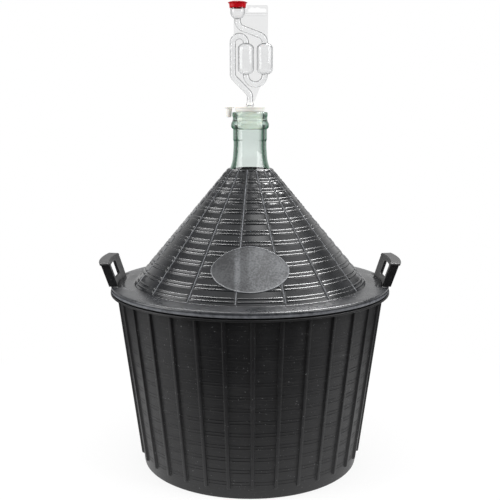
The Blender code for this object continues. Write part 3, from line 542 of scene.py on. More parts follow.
def ribHeight(across, z):
    # the foot of a rib is round: below its start the distance to its spine counts
    start = tub["ribStart"] + 0.005
    away = math.hypot(across, start - z) if z < start else abs(across)
    return alongTable(ribSide, away)


def lineHeight(z):
    # pairs of fine ridges round the wall, weaker towards the rim
    index = (z - tub["lineFirst"]) / tub["linePitch"]
    if not -0.4 < index < tub["linePairs"] - 0.5:
        return 0
    away = abs(abs(index - round(index)) * tub["linePitch"] - tub["lineHalf"])
    fade = 1 - 0.6 * softStep(0.20, 0.29, z)
    return tub["lineHigh"] * max(0, 1 - away / tub["lineWide"]) * fade


def shapeTub(x, y, z):
    radius = math.hypot(x, y)
    if radius < 1e-6:
        return (x, y, z)
    angle, across, _ = findColumn(x, y, tub["ribs"], tub["ribTurn"], ribColumns, panelColumns)
    outside = radius > tubRadius(z) - 1e-4 and 0.004 < z < 0.3306
    if outside:
        radius += max(ribHeight(across, z), lineHeight(z))
    return (radius * math.cos(angle), radius * math.sin(angle), z)


def makeTub():
    piece = turnProfile("basketTub", tubProfile(), sectorColumns * tub["ribs"], smoothAngle=50)
    deform(piece, shapeTub)
    dress(piece, "basket", ["basket_tub"], finishes["tub"])


makeTub()


# Cover: ringed cone with raised upright lines, flange with skirt, oval plate

cover = {
    "flangeTop": 0.3480, "flangeLow": 0.3455, "rimRadius": 0.264, "skirtLow": 0.3385,
    "footRadius": 0.220, "topRadius": 0.0405, "collarRadius": 0.0385, "top": 0.5625, "wall": 0.0025,
    "pairs": 12, "firstPair": 0.356, "pairPitch": 0.017, "ringHalf": 0.00255,
    "ringWide": 0.00145, "ringHigh": 0.0012, "topRing": 0.5596,
    "uprights": 16, "uprightTurn": -6.5, "uprightHigh": 0.0012,
    "weaveFrom": 0.490, "weaveHigh": 0.0011,
    "notchRadius": 0.2493, "notchAngle": 15.4,
    # fixed shares of painted reflection on the flange top and painted highlight on the rim's rounding and the
    # skirt
    "flangePaintedReflection": 0.20, "rimPaintedHighlight": 0.18, "skirtPaintedHighlight": 0.85,
    "flangeFrom": (0.221, 0.3475), "rimFrom": (0.2602, 0.3439), "skirtFrom": 0.2632,
}
coneSlope = (cover["footRadius"] - cover["topRadius"]) / (cover["top"] - cover["flangeTop"])
coneSlant = math.hypot(1, coneSlope)
uprightSide = [(0, 1.0), (0.0005, 0.85), (0.0009, 0.05), (0.0015, -0.28), (0.0024, 0), (0.0044, 0)]
weaveSide = [(0, 0.25), (0.0005, 0.30), (0.0009, 0.95), (0.0015, 0.80), (0.0024, 0.15), (0.0044, 0)]
uprightColumns = [-place for place, _ in reversed(uprightSide[1:])] + [place for place, _ in uprightSide]
fieldColumns = 9
coverColumns = len(uprightColumns) + fieldColumns
ringLines = [cover["topRing"]]
for pair in range(cover["pairs"]):
    middle = cover["firstPair"] + pair * cover["pairPitch"]
    ringLines += [middle - cover["ringHalf"], middle + cover["ringHalf"]]
ringSide = [(0, 1.0), (0.5, 0.72), (1.0, 0)]


def coneRadius(z):
    return cover["footRadius"] - coneSlope * (z - cover["flangeTop"])


def coverProfile():
    rows = [0.3502, 0.3515]
    for line in ringLines:
        rows += [line + share * cover["ringWide"] for share in (-1.25, -1, -0.5, 0, 0.5, 1, 1.25)]
    free = cover["pairPitch"] - 2 * (cover["ringHalf"] + cover["ringWide"])
    for pair in range(cover["pairs"] - 1):
        middle = cover["firstPair"] + pair * cover["pairPitch"]
        above = middle + cover["ringHalf"] + cover["ringWide"]
        rows += [above + free * share for share in (0.2, 0.5, 0.8)]
    rows += [0.5500, 0.5535, 0.5565, 0.5613, 0.5620]
    outer = [(coneRadius(z), z) for z in sorted(rows, reverse=True)]
    collar, top = cover["collarRadius"], cover["top"]
    lowInner = top - 0.0021
    points = [(collar, lowInner + 0.0002), (collar, top - 0.0004), (collar + 0.0003, top)]
    points += [(0.0398, top), (0.0404, top - 0.0002)] + outer + [(0.2188, 0.3492), (0.2194, 0.3484)]
    points += [(radius, cover["flangeTop"]) for radius in (0.2204, 0.224, 0.236, cover["notchRadius"])]
    points += roundCorner((0.2600, 0.3440), 0.0040, 90, 0, 7)
    low, rim, skirt = cover["flangeLow"], cover["rimRadius"], cover["skirtLow"]
    points += [(rim, 0.3415), (rim, 0.3392), (0.2635, skirt), (0.2620, skirt)]
    points += [(0.2615, 0.3392), (0.2615, 0.3440)]
    points += [(radius, low) for radius in (0.2600, cover["notchRadius"], 0.236)]
    inner = coneSlant * cover["wall"]
    return points + [(coneRadius(z) - inner, z) for z in [low] + spread(low, lowInner - 0.0006, 8)]


def ringHeight(z):
    away = min(abs(z - line) for line in ringLines) / cover["ringWide"]
    return cover["ringHigh"] * alongTable(ringSide, away)


def coneHeight(across, z):
    # across is the distance to the nearest upright line
    index = (z - cover["firstPair"]) / cover["pairPitch"]
    nearPair = 1 - softStep(0.22, 0.32, abs(index - round(index)))
    weave = softStep(cover["weaveFrom"], cover["weaveFrom"] + 0.012, z)
    side = alongTable(uprightSide, abs(across)) * (1 - weave) + alongTable(weaveSide, abs(across)) * weave
    upright = cover["uprightHigh"] * side * (1 - 0.55 * nearPair)
    ring = ringHeight(z) * softStep(0.0016, 0.0040, abs(across))
    return max(upright, ring) if upright >= 0 and ring > 0 else upright + ring


def weaveHeight(share, z):
    # small cushions between the rings near the neck, share runs from one upright line to the next
    weave = softStep(cover["weaveFrom"], cover["weaveFrom"] + 0.012, z) * (1 - softStep(0.550, 0.556, z))
    index = (z - cover["firstPair"]) / cover["pairPitch"]
    between = abs(index - round(index))
    if between < 0.22:
        return 0
    swell = math.sin(math.pi * (between - 0.22) / 0.56)
    return cover["weaveHigh"] * weave * swell * math.sin(math.pi * share) ** 0.7


wearAndSheen = []


def shapeCover(x, y, z):
    # moves a vertex to its column, raises it on rings and lines, and notes how rubbed it is on the upright
    # lines and how much painted reflection and painted highlight the flange, rim and skirt carry
    radius = math.hypot(x, y)
    sectors = cover["uprights"], cover["uprightTurn"]
    angle, across, share = findColumn(x, y, *sectors, uprightColumns, fieldColumns)
    onCone = radius > coneRadius(z) - 1e-4 and 0.3500 < z < cover["top"] - 0.0004
    wearAndSheen.append(0)
    if onCone:
        height = coneHeight(across, z) + weaveHeight(share, z)
        wearAndSheen[-1] = 1 - softStep(0.0005, 0.0010, abs(across))
        radius += height / coneSlant
        z += height * coneSlope / coneSlant
    # painted highlight on the rim's rounding and the skirt, painted reflection on the flange top
    elif radius > cover["rimFrom"][0] and z > cover["rimFrom"][1]:
        wearAndSheen[-1] = cover["rimPaintedHighlight"]
    elif radius > cover["skirtFrom"]:
        wearAndSheen[-1] = cover["skirtPaintedHighlight"]
    elif radius > cover["flangeFrom"][0] and z > cover["flangeFrom"][1]:
        wearAndSheen[-1] = cover["flangePaintedReflection"]
    return (radius * math.cos(angle), radius * math.sin(angle), z)


plate = {
    "wide": 0.137, "slantLong": 0.092, "rise": 0.054, "roundness": 1.8,
    "edge": [
        (0.0000, 0.0010), (0.0003, 0.0015), (0.0008, 0.0018),
        (0.0014, 0.0018), (0.0019, 0.0014), (0.0028, 0.0013),
    ],
    "under": -0.0008, "inner": 10, "corners": 128,
}


def makePlate():
    # an oval slab with a raised rim, built ring by ring and wrapped on the cone
    piece = startDisc("ovalPlate", plate["corners"], 1)
    halfWide, halfLong = plate["wide"] / 2, plate["slantLong"] / 2
    power = 2 / plate["roundness"]
    rings = [(halfWide * share, halfLong * share, plate["under"]) for share in spread(0.05, 1, 8)]
    rings += [(halfWide - place, halfLong - place, height) for place, height in plate["edge"]]
    wide, long, height = rings[-1]
    rings += [(wide * share, long * share, height) for share in spread(0.95, 0.05, plate["inner"])]
    for vert in piece.data.vertices:
        x, y, _ = vert.co
        wide, long = math.copysign(abs(x) ** power, x), math.copysign(abs(y) ** power, y)
        vert.co = (wide * rings[0][0], long * rings[0][1], rings[0][2])
    editPiece(piece, "FACE")
    for before, after in zip(rings, rings[1:]):
        bpy.ops.mesh.extrude_region_move(TRANSFORM_OT_translate={"value": (0, 0, after[2] - before[2])})
        bpy.ops.transform.resize(value=(after[0] / before[0], after[1] / before[1], 1))
    leaveEdit(piece, 40)
    # the top of the raised rim takes a painted highlight, in the attribute the cover uses for wear
    rim = [vert.co.z > plate["edge"][1][1] for vert in piece.data.vertices]
    piece.data.attributes.new("wearAndSheen", "FLOAT", "POINT").data.foreach_set("value", rim)
    middleZ = cover["flangeTop"] + plate["rise"]
    turnRadius = coneRadius(middleZ)

    def wrap(x, y, height):
        angle = x / turnRadius
        z = middleZ + y / coneSlant
        radius = coneRadius(z) + height / coneSlant
        z += height * coneSlope / coneSlant
        return (radius * math.sin(angle), -radius * math.cos(angle), z)

    deform(piece, wrap)
    piece.data.materials.append(finishes["plate"])
    return piece


def makeNotch(name, middle):
    # a block turned clockwise about the axis, a little wider than the root of one hand grip
    section = [(cover["notchRadius"], 0.334), (0.272, 0.334), (0.272, 0.352), (cover["notchRadius"], 0.352)]
    cutter = turnProfile(name, section, 16, closed=True, angle=math.radians(2 * cover["notchAngle"]))
    editPiece(cutter, "EDGE")
    bpy.ops.mesh.fill_holes(sides=0)
    leaveEdit(cutter)
    start = math.radians(middle + cover["notchAngle"])
    turned = math.cos(start), math.sin(start)
    deform(cutter, lambda x, y, z: (x * turned[0] - y * turned[1], x * turned[1] + y * turned[0], z))
    return cutter


def makeCover():
    steps = coverColumns * cover["uprights"]
    piece = turnProfile("basketCover", coverProfile(), steps, closed=True, smoothAngle=50)
    deform(piece, shapeCover)
    piece.data.attributes.new("wearAndSheen", "FLOAT", "POINT").data.foreach_set("value", wearAndSheen)
    piece.data.materials.append(finishes["cover"])
    for name, middle in (("rightNotch", 0), ("leftNotch", 180)):
        cutWith(piece, makeNotch(name, middle))
    joinPieces(piece, [makePlate()])
    dress(piece, "cover", ["basket_cover"], None)


makeCover()


# Hand grips: a wall with a window, end webs, a broad top and a root block, bent round the rim

grip = {
    "rootRadius": 0.2505, "lean": 19.0, "rootLow": 0.3358, "flangeTop": 0.3480, "top": 0.3920,
    "halfAngle": 12.5, "rootHalfAngle": 14.8, "rootDepth": 0.0122, "rootRound": 0.0012,
    "wall": 0.0036, "wallRound": 0.0009, "wallCorner": 0.0075,
    "webOuter": 0.0014, "webInner": 0.0044, "webDepth": 0.0165, "webTop": 0.3890, "webRound": 0.0006,
    "topDepth": 0.0184, "topThick": 0.0044, "topRound": 0.0011, "topCorner": 0.0042,
    "windowHalf": 0.0245, "windowLow": 0.3570, "windowTop": 0.3830, "windowCorner": 0.0030,
    "bendCuts": 15, "bendStep": 0.0041,
}
gripHalf = math.radians(grip["halfAngle"]) * grip["rootRadius"]


def makeBlock(name, low, high, bevel=0.0008, corners=None):
    # a cube set to its corners, its edges rounded; corners rounds the two upper ends more, or all four
    block = startPiece(name, bpy.ops.mesh.primitive_cube_add, size=1)
    editPiece(block, "EDGE")
    bpy.ops.transform.resize(value=[b - a for a, b in zip(low, high)])
    bpy.ops.transform.translate(value=[(a + b) / 2 for a, b in zip(low, high)])
    if corners:
        bpy.ops.mesh.select_all(action="DESELECT")
        shape = bmesh.from_edit_mesh(block.data)
        for edge in shape.edges:
            start, end = (vert.co for vert in edge.verts)
            across = abs(start.y - end.y) > 1e-6
            edge.select_set(across and (start.z > (low[2] + high[2]) / 2 or corners[1]))
        bmesh.update_edit_mesh(block.data)
        bpy.ops.mesh.bevel(offset=corners[0], segments=7, profile=0.5)
    leaveEdit(block)
    if bevel:
        sharp = {"limit_method": "ANGLE", "angle_limit": math.radians(40)}
        applyModifier(block, "BEVEL", width=bevel, segments=3, **sharp)
    return block


def makeGripFlat(name):
    # modelled flat: x runs along the rim, y outwards, z up
    half, foot, top = gripHalf, grip["flangeTop"] - 0.001, grip["top"]
    low, high = (0.0003 - half, 0.0002, foot), (half - 0.0003, grip["wall"], top - 0.0005)
    wall = makeBlock(name, low, high, grip["wallRound"], (grip["wallCorner"], False))
    low, high = (-grip["windowHalf"], -0.01, grip["windowLow"]), (grip["windowHalf"], 0.02, grip["windowTop"])
    cutWith(wall, makeBlock("gripWindow", low, high, 0, (grip["windowCorner"], True)))
    parts = []
    for side in (-1, 1):
        inner, outer = sorted((side * (half - grip["webOuter"]), side * (half - grip["webInner"])))
        low, high = (inner, 0.0012, foot), (outer, grip["webDepth"], grip["webTop"])
        parts.append(makeBlock("gripWeb", low, high, grip["webRound"]))
    low, high = (-half, 0, top - grip["topThick"]), (half, grip["topDepth"], top)
    parts.append(makeBlock("gripTop", low, high, grip["topRound"], (grip["topCorner"], False)))
    rootHalf = math.radians(grip["rootHalfAngle"]) * grip["rootRadius"]
    low, high = (-rootHalf, 0, grip["rootLow"]), (rootHalf, grip["rootDepth"], grip["flangeTop"])
    parts.append(makeBlock("gripRoot", low, high, grip["rootRound"]))
    for part in parts:
        cutWith(wall, part, "UNION")
    return wall


def bendGrip(piece, middle):
    editPiece(piece)
    for cut in range(-grip["bendCuts"], grip["bendCuts"] + 1):
        bpy.ops.mesh.select_all(action="SELECT")
        bpy.ops.mesh.bisect(plane_co=(cut * grip["bendStep"], 0, 0), plane_no=(1, 0, 0))
    leaveEdit(piece, 32)

    def bend(x, y, z):
        angle = x / grip["rootRadius"] + math.radians(middle)
        radius = grip["rootRadius"] + y + max(0, z - grip["flangeTop"]) * math.tan(math.radians(grip["lean"]))
        return (radius * math.cos(angle), radius * math.sin(angle), z)

    deform(piece, bend)
    editPiece(piece)
    leaveEdit(piece, 32)


def makeGrips():
    for name, node, middle in (("rightGrip", "right_handle", 0), ("leftGrip", "left_handle", 180)):
        piece = makeGripFlat(name)
        bendGrip(piece, middle)
        dress(piece, "basket", [node], finishes["tub"])


makeGrips()


# Glass: thick walled vessel with bead and lip round its neck

glass = {
    "body": [
        (0.0, 0.0313), (0.030, 0.0300), (0.058, 0.0265), (0.085, 0.0185), (0.1058, 0.0111),
        (0.118, 0.0079), (0.129, 0.0073), (0.1365, 0.0131), (0.1551, 0.0300), (0.1776, 0.0573),
        (0.1984, 0.0936), (0.2143, 0.1371), (0.2236, 0.1856), (0.2263, 0.2366), (0.2257, 0.2744),
        (0.2229, 0.3047), (0.2166, 0.3303), (0.2054, 0.3538), (0.1877, 0.3780), (0.1400, 0.4350),
        (0.0940, 0.4900), (0.0522, 0.5400), (0.0439, 0.5506), (0.0371, 0.5630), (0.0325, 0.5795),
        (0.0308, 0.6025),
    ],
    "neck": [
        (0.0308, 0.6060), (0.0308, 0.6135), (0.0310, 0.6147), (0.0316, 0.6157), (0.0317, 0.6170),
        (0.0317, 0.6250), (0.0317, 0.6345), (0.0320, 0.6354), (0.0330, 0.6362), (0.0342, 0.6375),
        (0.0351, 0.6394), (0.0355, 0.6415), (0.0354, 0.6436), (0.0348, 0.6458), (0.0338, 0.6480),
        (0.0328, 0.6500), (0.0323, 0.6520), (0.0322, 0.6545), (0.0323, 0.6575), (0.0327, 0.6592),
        (0.0330, 0.6606), (0.0330, 0.6636), (0.0327, 0.6650), (0.0320, 0.6659), (0.0311, 0.6662),
        (0.0270, 0.6662), (0.0260, 0.6660), (0.0253, 0.6653), (0.0250, 0.6640), (0.0250, 0.6450),
        (0.0250, 0.6200), (0.0250, 0.6020),
    ],
    "wall": 0.0045, "steps": 144,
}


def smoothCurve(points, count):
    # a smooth curve through the points, with count steps between two of them
    dots = [Vector(point) for point in points]
    curve = []
    for i in range(len(dots) - 1):
        before, start, end, after = dots[max(i - 1, 0)], dots[i], dots[i + 1], dots[min(i + 2, len(dots) - 1)]
        for step in range(count):
            t = step / count
            spot = 0.5 * (2 * start + (end - before) * t + (2 * before - 5 * start + 4 * end - after) * t**2
                          + (3 * start - before - 3 * end + after) * t**3)
            curve.append((max(0, spot.x), spot.y))
    curve.append(tuple(dots[-1]))
    return curve


def movedIn(points, distance):
    moved = []
    for i, (radius, z) in enumerate(points):
        before, after = points[max(i - 1, 0)], points[min(i + 1, len(points) - 1)]
        along = Vector((after[0] - before[0], after[1] - before[1])).normalized()
        moved.append((max(0, radius - along.y * distance), z + along.x * distance))
    return moved


def makeGlass():
    body = smoothCurve(glass["body"], 3)
    inside = [point for point in movedIn(body, glass["wall"]) if point[1] < 0.5600]
    inside[0] = (0, inside[0][1])
    inside += [(0.0320, 0.5640), (0.0290, 0.5740), (0.0266, 0.5860)]
    profile = body + smoothCurve(glass["neck"], 2) + list(reversed(smoothCurve(inside, 1)))
    piece = turnProfile("glassVessel", profile, glass["steps"], smoothAngle=60)
    dress(piece, "glass", ["glass_demijohn"], finishes["glass"])


makeGlass()


# Bung with three sealing rings, and its spare plug on a strap

bung = {
    "top": 0.6765, "flangeLow": 0.6737, "seat": 0.6665, "tip": 0.6372, "rings": 3,
    "flangeRadius": 0.0284, "holeRadius": 0.0062, "steps": 96,
    "plugOffset": 0.0392, "strapWide": 0.0060, "strapThick": 0.0014, "strapEnd": 0.0075, "droop": 0.0005,
}


sealSide = [
    (0.0232, -0.0018), (0.0235, -0.0013), (0.0243, -0.0005), (0.0245, 0),
    (0.0243, 0.0005), (0.0235, 0.0013), (0.0232, 0.0018),
]
plugSide = [
    (0, -0.0194), (0.0037, -0.0194), (0.0043, -0.0190), (0.0045, -0.0182), (0.0059, -0.0042),
    (0.0060, -0.0030), (0.0064, -0.0025), (0.0078, -0.0024), (0.0083, -0.0021), (0.0085, -0.0015),
    (0.0085, -0.0009), (0.0083, -0.0003), (0.0077, 0), (0, 0),
]


def bungProfile():
    hole, tip, seat, top = bung["holeRadius"], bung["tip"], bung["seat"], bung["top"]
    points = [(hole, 0.6378), (hole + 0.0006, tip), (0.0218, tip), (0.0226, 0.6379)]
    for i in range(bung["rings"]):
        middle = tip + 0.029 / (bung["rings"] + 1) * (i + 1)
        points += [(radius, middle + rise) for radius, rise in sealSide]
    points += [(0.0232, 0.6655), (0.0234, 0.6664), (0.0240, seat), (0.0256, seat), (0.0261, 0.6669)]
    points += [(0.0266, 0.6700), (0.0270, 0.6727), (0.0273, 0.6735), (0.0279, bung["flangeLow"])]
    points += [(0.0283, 0.6740), (0.0284, 0.6745), (0.0284, 0.6757), (0.0281, 0.6763), (0.0276, top)]
    return points + [(0.0150, top), (0.0072, top), (0.0065, 0.6763), (hole, 0.6757)]


def makeBung():
    piece = turnProfile("rubberBung", bungProfile(), bung["steps"], closed=True, smoothAngle=50)
    dress(piece, "bung", ["bung"], finishes["rubber"])


def makePlug():
    root = -(bung["flangeRadius"] + 0.0005)
    spot = -bung["plugOffset"]
    points = [(radius, bung["top"] + rise) for radius, rise in plugSide]
    piece = turnProfile("sparePlug", points, 64, middle=(spot, 0), smoothAngle=50)
    top = bung["top"] - 0.0005
    low = (spot + bung["strapEnd"], -bung["strapWide"] / 2, top - bung["strapThick"])
    strap = makeBlock("plugStrap", low, (root, bung["strapWide"] / 2, top), 0.0004)
    cutWith(piece, strap, "UNION")

    def droop(x, y, z):
        # the strap carries the plug a little lower at its far end
        share = softStep(0, 1, (root - x) / 0.016)
        return (x, y, z - bung["droop"] * share)

    deform(piece, droop)
    editPiece(piece)
    leaveEdit(piece, 40)
    dress(piece, "plug", ["bung_plug"], finishes["rubber"])


makeBung()
makePlug()


# Airlock: tubes swept along their routes, two bulbs, cup, thin plate with a hanger slot

airlock = {
    "foot": 0.6768, "tube": 0.0057, "wall": 0.0011, "bulb": 0.0149,
    "leftBulb": -0.0075, "rightBulb": 0.0272, "leg": -0.0316, "cup": -0.0225, "cupRadius": 0.0135,
    "bulbLow": 0.7340, "bulbHigh": 0.7915, "cupLow": 0.8328, "cupRim": 0.8636,
    "stemCorner": 0.6994, "legCorner": 0.7310, "upperLeft": 0.8206, "upperRight": 0.8017,
    "plateThick": 0.0013, "plateLeft": -0.0297, "plateRight": 0.0328, "plateTop": 0.8581,
    "slotLow": 0.8453, "slotTop": 0.8524, "slotLeft": -0.0037, "slotRight": 0.0298, "slotCorner": 0.0030,
}
slotBumps = [
    (0.0190, 0), (0.0172, 0.0012), (0.0150, 0.0022), (0.0122, 0.0024), (0.0100, 0.0014),
    (0.0082, 0.0004), (0.0066, 0.0014), (0.0044, 0.0025), (0.0020, 0.0022), (0.0004, 0.0010),
]
stemSide = [
    (0, -0.036), (0.0040, -0.036), (0.0046, -0.0355), (0.0055, -0.0010), (0.0057, -0.0002),
    (0.0072, 0), (0.0076, 0.0004), (0.0076, 0.0012), (0.0071, 0.0022), (0.0060, 0.0062),
    (0.0056, 0.0095), (0, 0.0095),
]


def filletPoints(before, corner, after, radius, count=9):
    corner, before, after = Vector(corner), Vector(before), Vector(after)
    towards, away = (before - corner).normalized(), (after - corner).normalized()
    half = towards.angle(away) / 2
    middle = corner + (towards + away).normalized() * radius / math.sin(half)
    first = (corner + towards * radius / math.tan(half) - middle).normalized()
    last = (corner + away * radius / math.tan(half) - middle).normalized()
    return [tuple(middle + radius * first.slerp(last, i / count)) for i in range(count + 1)]


def sweptTube(name, route, radius):
    # a straight tube with one ring for each point of the route, moved onto the route
    last = len(route) - 1
    piece = turnProfile(name, [(0, 0)] + [(radius, i) for i in range(last + 1)] + [(0, last)], 28)

    def onRoute(x, y, z):
        i = round(z)
        along = (Vector(route[min(i + 1, last)]) - Vector(route[max(i - 1, 0)])).normalized()
        return route[i][0] + along.y * x, y, route[i][1] - along.x * x

    deform(piece, onRoute)
    return piece


def airlockRoutes():
    a = airlock
    cup, right, left, leg = a["cup"], a["rightBulb"], a["leftBulb"], a["leg"]
    upperEnds = (cup, a["cupLow"] + 0.008), (right, a["bulbHigh"] - 0.006)
    corners = (cup, a["upperLeft"]), (right, a["upperRight"])
    upper = [upperEnds[0]] + filletPoints(upperEnds[0], corners[0], corners[1], 0.014)
    upper += filletPoints(corners[0], corners[1], upperEnds[1], 0.014) + [upperEnds[1]]
    lowBend = roundCorner(((left + right) / 2, a["bulbLow"]), (right - left) / 2, 0, -180, 24)
    low = [(right, a["bulbLow"] + 0.006)] + lowBend + [(left, a["bulbLow"] + 0.006)]
    overBend = roundCorner(((left + leg) / 2, a["bulbHigh"]), (left - leg) / 2, 0, 180, 22)
    legCorner, stemCorner, foot = (leg, a["legCorner"]), (0, a["stemCorner"]), (0, a["foot"] + 0.001)
    stem = [(left, a["bulbHigh"] - 0.006)] + overBend
    stem += filletPoints(overBend[-1], legCorner, stemCorner, 0.010)
    stem += filletPoints(legCorner, stemCorner, foot, 0.016) + [foot]
    return upper, low, stem


def bulbProfile(radius, inset):
    low, high, end = airlock["bulbLow"] + inset, airlock["bulbHigh"] - inset, 0.0098
    half = []
    for i in range(9):
        around = math.pi / 2 * i / 8
        half.append((radius * math.sin(around), low + end * (1 - math.cos(around))))
    return half + [(r, low + high - z) for r, z in reversed(half)]


def cupOutline(radius, low, top):
    points = []
    for i in range(13):
        around = math.pi / 2 * i / 12
        points.append((radius * math.sin(around), low + radius * (1 - math.cos(around))))
    return points + [(radius, top), (0, top)]


def makeWeb():
    # flat outline extruded to the plate's thickness, with a slot that has two bumps in its upper edge
    a = airlock
    left, right, top = a["plateLeft"], a["plateRight"], a["plateTop"]
    outline = [
        (-0.0056, top), (-0.0056, 0.8514), (left, 0.8514), (left, a["legCorner"]), (0, a["stemCorner"]),
        (0, 0.6858), (0.0082, 0.6858), (right, 0.7468),
        (right, top - 0.003), (right - 0.0009, top - 0.0009), (right - 0.003, top),
    ]
    plateObject = extrudedOutline("airlockWeb", outline, a["plateThick"])
    low, top, left, right, corner = a["slotLow"], a["slotTop"], a["slotLeft"], a["slotRight"], a["slotCorner"]
    slot = roundCorner((left + corner, low + corner), corner, 180, 270, 5)
    slot += roundCorner((right - corner, low + corner), corner, 270, 360, 5)
    slot += roundCorner((right - corner, top - corner), corner, 0, 90, 5)
    slot += [(x, top + rise) for x, rise in slotBumps]
    slot += roundCorner((left + 0.0034, top - corner), corner, 100, 180, 5)
    cutWith(plateObject, extrudedOutline("hangerSlot", slot, 0.02))
    for z, half in ((0.8438, 0.0005), (0.8400, 0.0007)):
        low, high = (-0.0080, -0.0014, z - half), (a["plateRight"] - 0.0008, 0.0014, z + half)
        cutWith(plateObject, makeBlock("webBead", low, high, 0.0002), "UNION")
    return plateObject


def extrudedOutline(name, outline, thick):
    piece = startDisc(name, len(outline), 0.01)
    for vert, (x, z) in zip(piece.data.vertices, outline):
        vert.co = (x, -thick / 2, z)
    editPiece(piece, "FACE")
    bpy.ops.mesh.extrude_region_move(TRANSFORM_OT_translate={"value": (0, thick, 0)})
    leaveEdit(piece)
    return piece


def airlockParts(inset):
    # the skins of the tubes, bulbs and cup, or with an inset the room inside them
    a = airlock
    grow = 0.004 if inset else 0
    parts = [sweptTube("tube", route, a["tube"] - inset) for route in airlockRoutes()]
    for x in (a["leftBulb"], a["rightBulb"]):
        parts.append(turnProfile("bulb", bulbProfile(a["bulb"] - inset, inset), 40, middle=(x, 0)))
    cupPoints = cupOutline(a["cupRadius"] - inset, a["cupLow"] + inset, a["cupRim"] + grow)
    return parts + [turnProfile("cup", cupPoints, 40, middle=(a["cup"], 0))]


def makeAirlock():
    a = airlock
    foot, inset = a["foot"], a["wall"]
    piece = turnProfile("airlock", [(radius, foot + rise) for radius, rise in stemSide], 32)
    for part in airlockParts(0):
        cutWith(piece, part, "UNION")
    bore = a["tube"] - inset
    low, high = foot - 0.04, foot + 0.004
    roomPoints = [(0, low), (0.0034, low), (bore - 0.0001, foot), (bore - 0.0006, high), (0, high)]
    room = turnProfile("room", roomPoints, 36)
    for part in airlockParts(inset):
        cutWith(room, part, "UNION")
    cutWith(piece, makeWeb(), "UNION")
    cutWith(piece, room)
    editPiece(piece)
    bpy.ops.mesh.fill_holes(sides=6)
    leaveEdit(piece, 40)
    dress(piece, "airlock", ["airlock_body", "airlock_cup"], finishes["clear"])


makeAirlock()


# Dust cap

cap = {"radius": 0.0178, "skirtLow": 0.8532, "top": 0.8654, "ceiling": 0.8639, "steps": 96}


def makeCap():
    wide, low, inside = cap["radius"], cap["skirtLow"], cap["ceiling"]
    points = [(0, inside), (0.0131, inside), (0.0138, 0.8638), (0.0139, 0.8634), (0.0139, low + 0.0002)]
    points += [(0.0141, low), (0.0147, low), (0.0149, low + 0.0003), (0.0152, 0.8570), (0.0158, 0.8612)]
    points += [(0.0162, 0.8622), (wide - 0.0004, 0.8619), (wide, 0.8622), (wide - 0.0001, 0.8627)]
    points += [(0.0166, 0.8632), (0.0150, 0.8640), (0.0120, 0.8647), (0.0080, 0.8652)]
    points += [(0.0040, 0.8654), (0, cap["top"])]
    piece = turnProfile("dustCap", points, cap["steps"], middle=(airlock["cup"], 0), smoothAngle=50)
    dress(piece, "dust_cap", ["airlock_cap"], finishes["red"])


makeCap()


# Floor, world, lamps and camera

studio = {
    "floorSeen": 1.0, "floorLit": 0.35, "shadowShare": 0.22, "whiteFrom": 0.30, "whiteBy": 0.9,
    "floorGloss": 1.0, "glossFrom": 0.25, "glossBy": 0.55, "glossSides": 0.4,
    "glossBack": 0.9, "glossFront": 0.03, "glossTop": 0.9, "throughBack": 0.90, "throughSide": 0.08,
    "softBack": 0.95, "softFront": 0.75, "softThrough": 3.2,
    "cameraPlace": (0, -1.60, 0.674), "cameraTilt": 80.52, "lens": 61.3, "sensor": 36,
}
lamps = [
    # name, place, aim, size, power, seen in highlights only
    ("leftStrip", (-0.66, 0.90, 1.90), (-0.12, 0, 0.45), (0.34, 0.9), 14, True),
    ("rightStrip", (0.64, 0.72, 1.93), (0.12, 0, 0.45), (0.42, 1.0), 46, True),
    ("topBack", (-0.05, 0.85, 2.15), (0, -0.2, 0.35), (0.9, 0.25), 10, True),
    ("topFront", (0.30, -0.62, 1.95), (0, -0.1, 0.40), (0.5, 0.5), 3, True),
    ("leftSide", (-2.0, -0.55, 1.1), (0, 0, 0.35), (1.6, 1.5), 34, False),
    ("rightSide", (1.9, -0.75, 1.4), (0, 0, 0.35), (1.6, 1.5), 34, False),
]


def makeFloor():
    # pale floor that the camera sees as white away from the object's own soft shadow
    floor = startPiece("floor", bpy.ops.mesh.primitive_plane_add, size=14)
    editPiece(floor)
    bpy.ops.mesh.subdivide(number_cuts=6)
    leaveEdit(floor)
    material, tree, shader, place = startMaterial("paleFloor")
    tree.nodes.remove(shader)
    rays = tree.nodes.new("ShaderNodeLightPath")
    seen = addMath(tree, "MAXIMUM", rays.outputs["Is Camera Ray"], rays.outputs["Is Transmission Ray"])
    away = addVector(tree, "LENGTH", place.outputs["Object"])["Value"]
    share = addRange(tree, away, studio["whiteFrom"], studio["whiteBy"], 1 - studio["shadowShare"], 1)
    share = addMath(tree, "MAXIMUM", times(tree, seen, share), rays.outputs["Is Glossy Ray"])
    # painted light: near the object the floor glows white to glossy rays, a pool of light though it is no
    # lamp
    narrowed = addVector(tree, "MULTIPLY", place.outputs["Object"], (studio["glossSides"], 1, 1))["Vector"]
    near = addVector(tree, "LENGTH", narrowed)["Value"]
    gloss = addRange(tree, near, studio["glossFrom"], studio["glossBy"], studio["floorGloss"], 0)
    strength = addMath(tree, "MAXIMUM", seen, times(tree, rays.outputs["Is Glossy Ray"], gloss))
    shade = tree.nodes.new("ShaderNodeBsdfDiffuse")
    tones = [(0, (studio["floorLit"],) * 3), (1, (studio["floorSeen"],) * 3)]
    tree.links.new(addColours(tree, seen, tones), shade.inputs["Color"])
    shine = tree.nodes.new("ShaderNodeEmission")
    tree.links.new(strength, shine.inputs["Strength"])
    mix = tree.nodes.new("ShaderNodeMixShader")
    tree.links.new(share, mix.inputs[0])
    tree.links.new(shade.outputs[0], mix.inputs[1])
    tree.links.new(shine.outputs[0], mix.inputs[2])
    tree.links.new(mix.outputs[0], tree.nodes["Material Output"].inputs["Surface"])
    floor.data.materials.append(material)


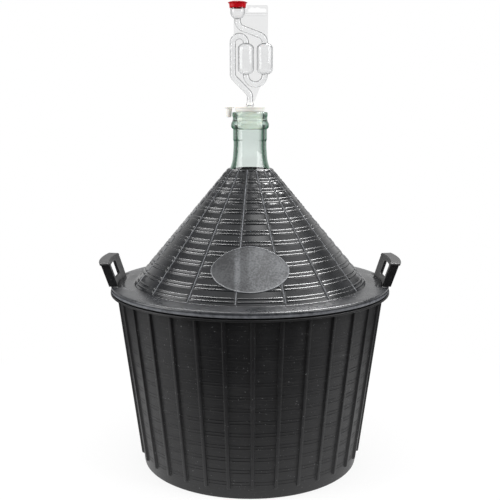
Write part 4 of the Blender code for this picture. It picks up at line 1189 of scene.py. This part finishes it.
def makeWorld():
    # white behind the object and darker in front, as a glossy surface sees it
    world = bpy.data.worlds.new("studio")
    bpy.context.scene.world = world
    world.use_nodes = True
    tree = world.node_tree
    background = tree.nodes["Background"]
    place = tree.nodes.new("ShaderNodeTexCoord")
    split = tree.nodes.new("ShaderNodeSeparateXYZ")
    tree.links.new(place.outputs["Generated"], split.inputs[0])
    rays = tree.nodes.new("ShaderNodeLightPath")
    back, up = split.outputs["Y"], split.outputs["Z"]
    soft = addRange(tree, back, -0.6, 0.6, studio["softFront"], studio["softBack"])
    gloss = addRange(tree, back, -0.10, 0.70, studio["glossFront"], studio["glossBack"])
    low = addRange(tree, up, 0.15, 0.60, 1, 0)
    ceiling = addRange(tree, up, 0.45, 0.80, 0, studio["glossTop"])
    gloss = addMath(tree, "MAXIMUM", times(tree, gloss, low), ceiling)
    through = addRange(tree, back, 0.60, 0.95, studio["throughSide"], studio["throughBack"])
    lit = addMath(tree, "MINIMUM", rays.outputs["Diffuse Depth"], 1)
    through = addMath(tree, "MAXIMUM", through, times(tree, lit, studio["softThrough"]))
    level = soft
    for kind, value in (("Is Glossy Ray", gloss), ("Is Transmission Ray", through), ("Is Camera Ray", 1)):
        change = addMath(tree, "SUBTRACT", value, level)
        level = plus(tree, level, times(tree, rays.outputs[kind], change))
    tree.links.new(level, background.inputs["Strength"])
    background.inputs["Color"].default_value = (1, 1, 1, 1)


def addLamp(name, place, target, size, power, highlightOnly):
    bpy.ops.object.light_add(type="AREA", location=place)
    lamp = bpy.context.object
    lamp.name = name
    lamp.rotation_euler = (Vector(target) - Vector(place)).to_track_quat("-Z", "Y").to_euler()
    lamp.data.shape = "RECTANGLE"
    lamp.data.size, lamp.data.size_y = size
    lamp.data.energy = power
    lamp.visible_transmission = False
    lamp.visible_diffuse = not highlightOnly


def makeCamera():
    tilt = math.radians(studio["cameraTilt"])
    bpy.ops.object.camera_add(location=studio["cameraPlace"], rotation=(tilt, 0, 0))
    camera = bpy.context.object
    camera.data.lens = studio["lens"]
    camera.data.sensor_width = studio["sensor"]
    bpy.context.scene.camera = camera


makeFloor()
makeWorld()
for lampValues in lamps:
    addLamp(*lampValues)
makeCamera()
bpy.context.scene.view_settings.view_transform = "Standard"
print("stage ready")
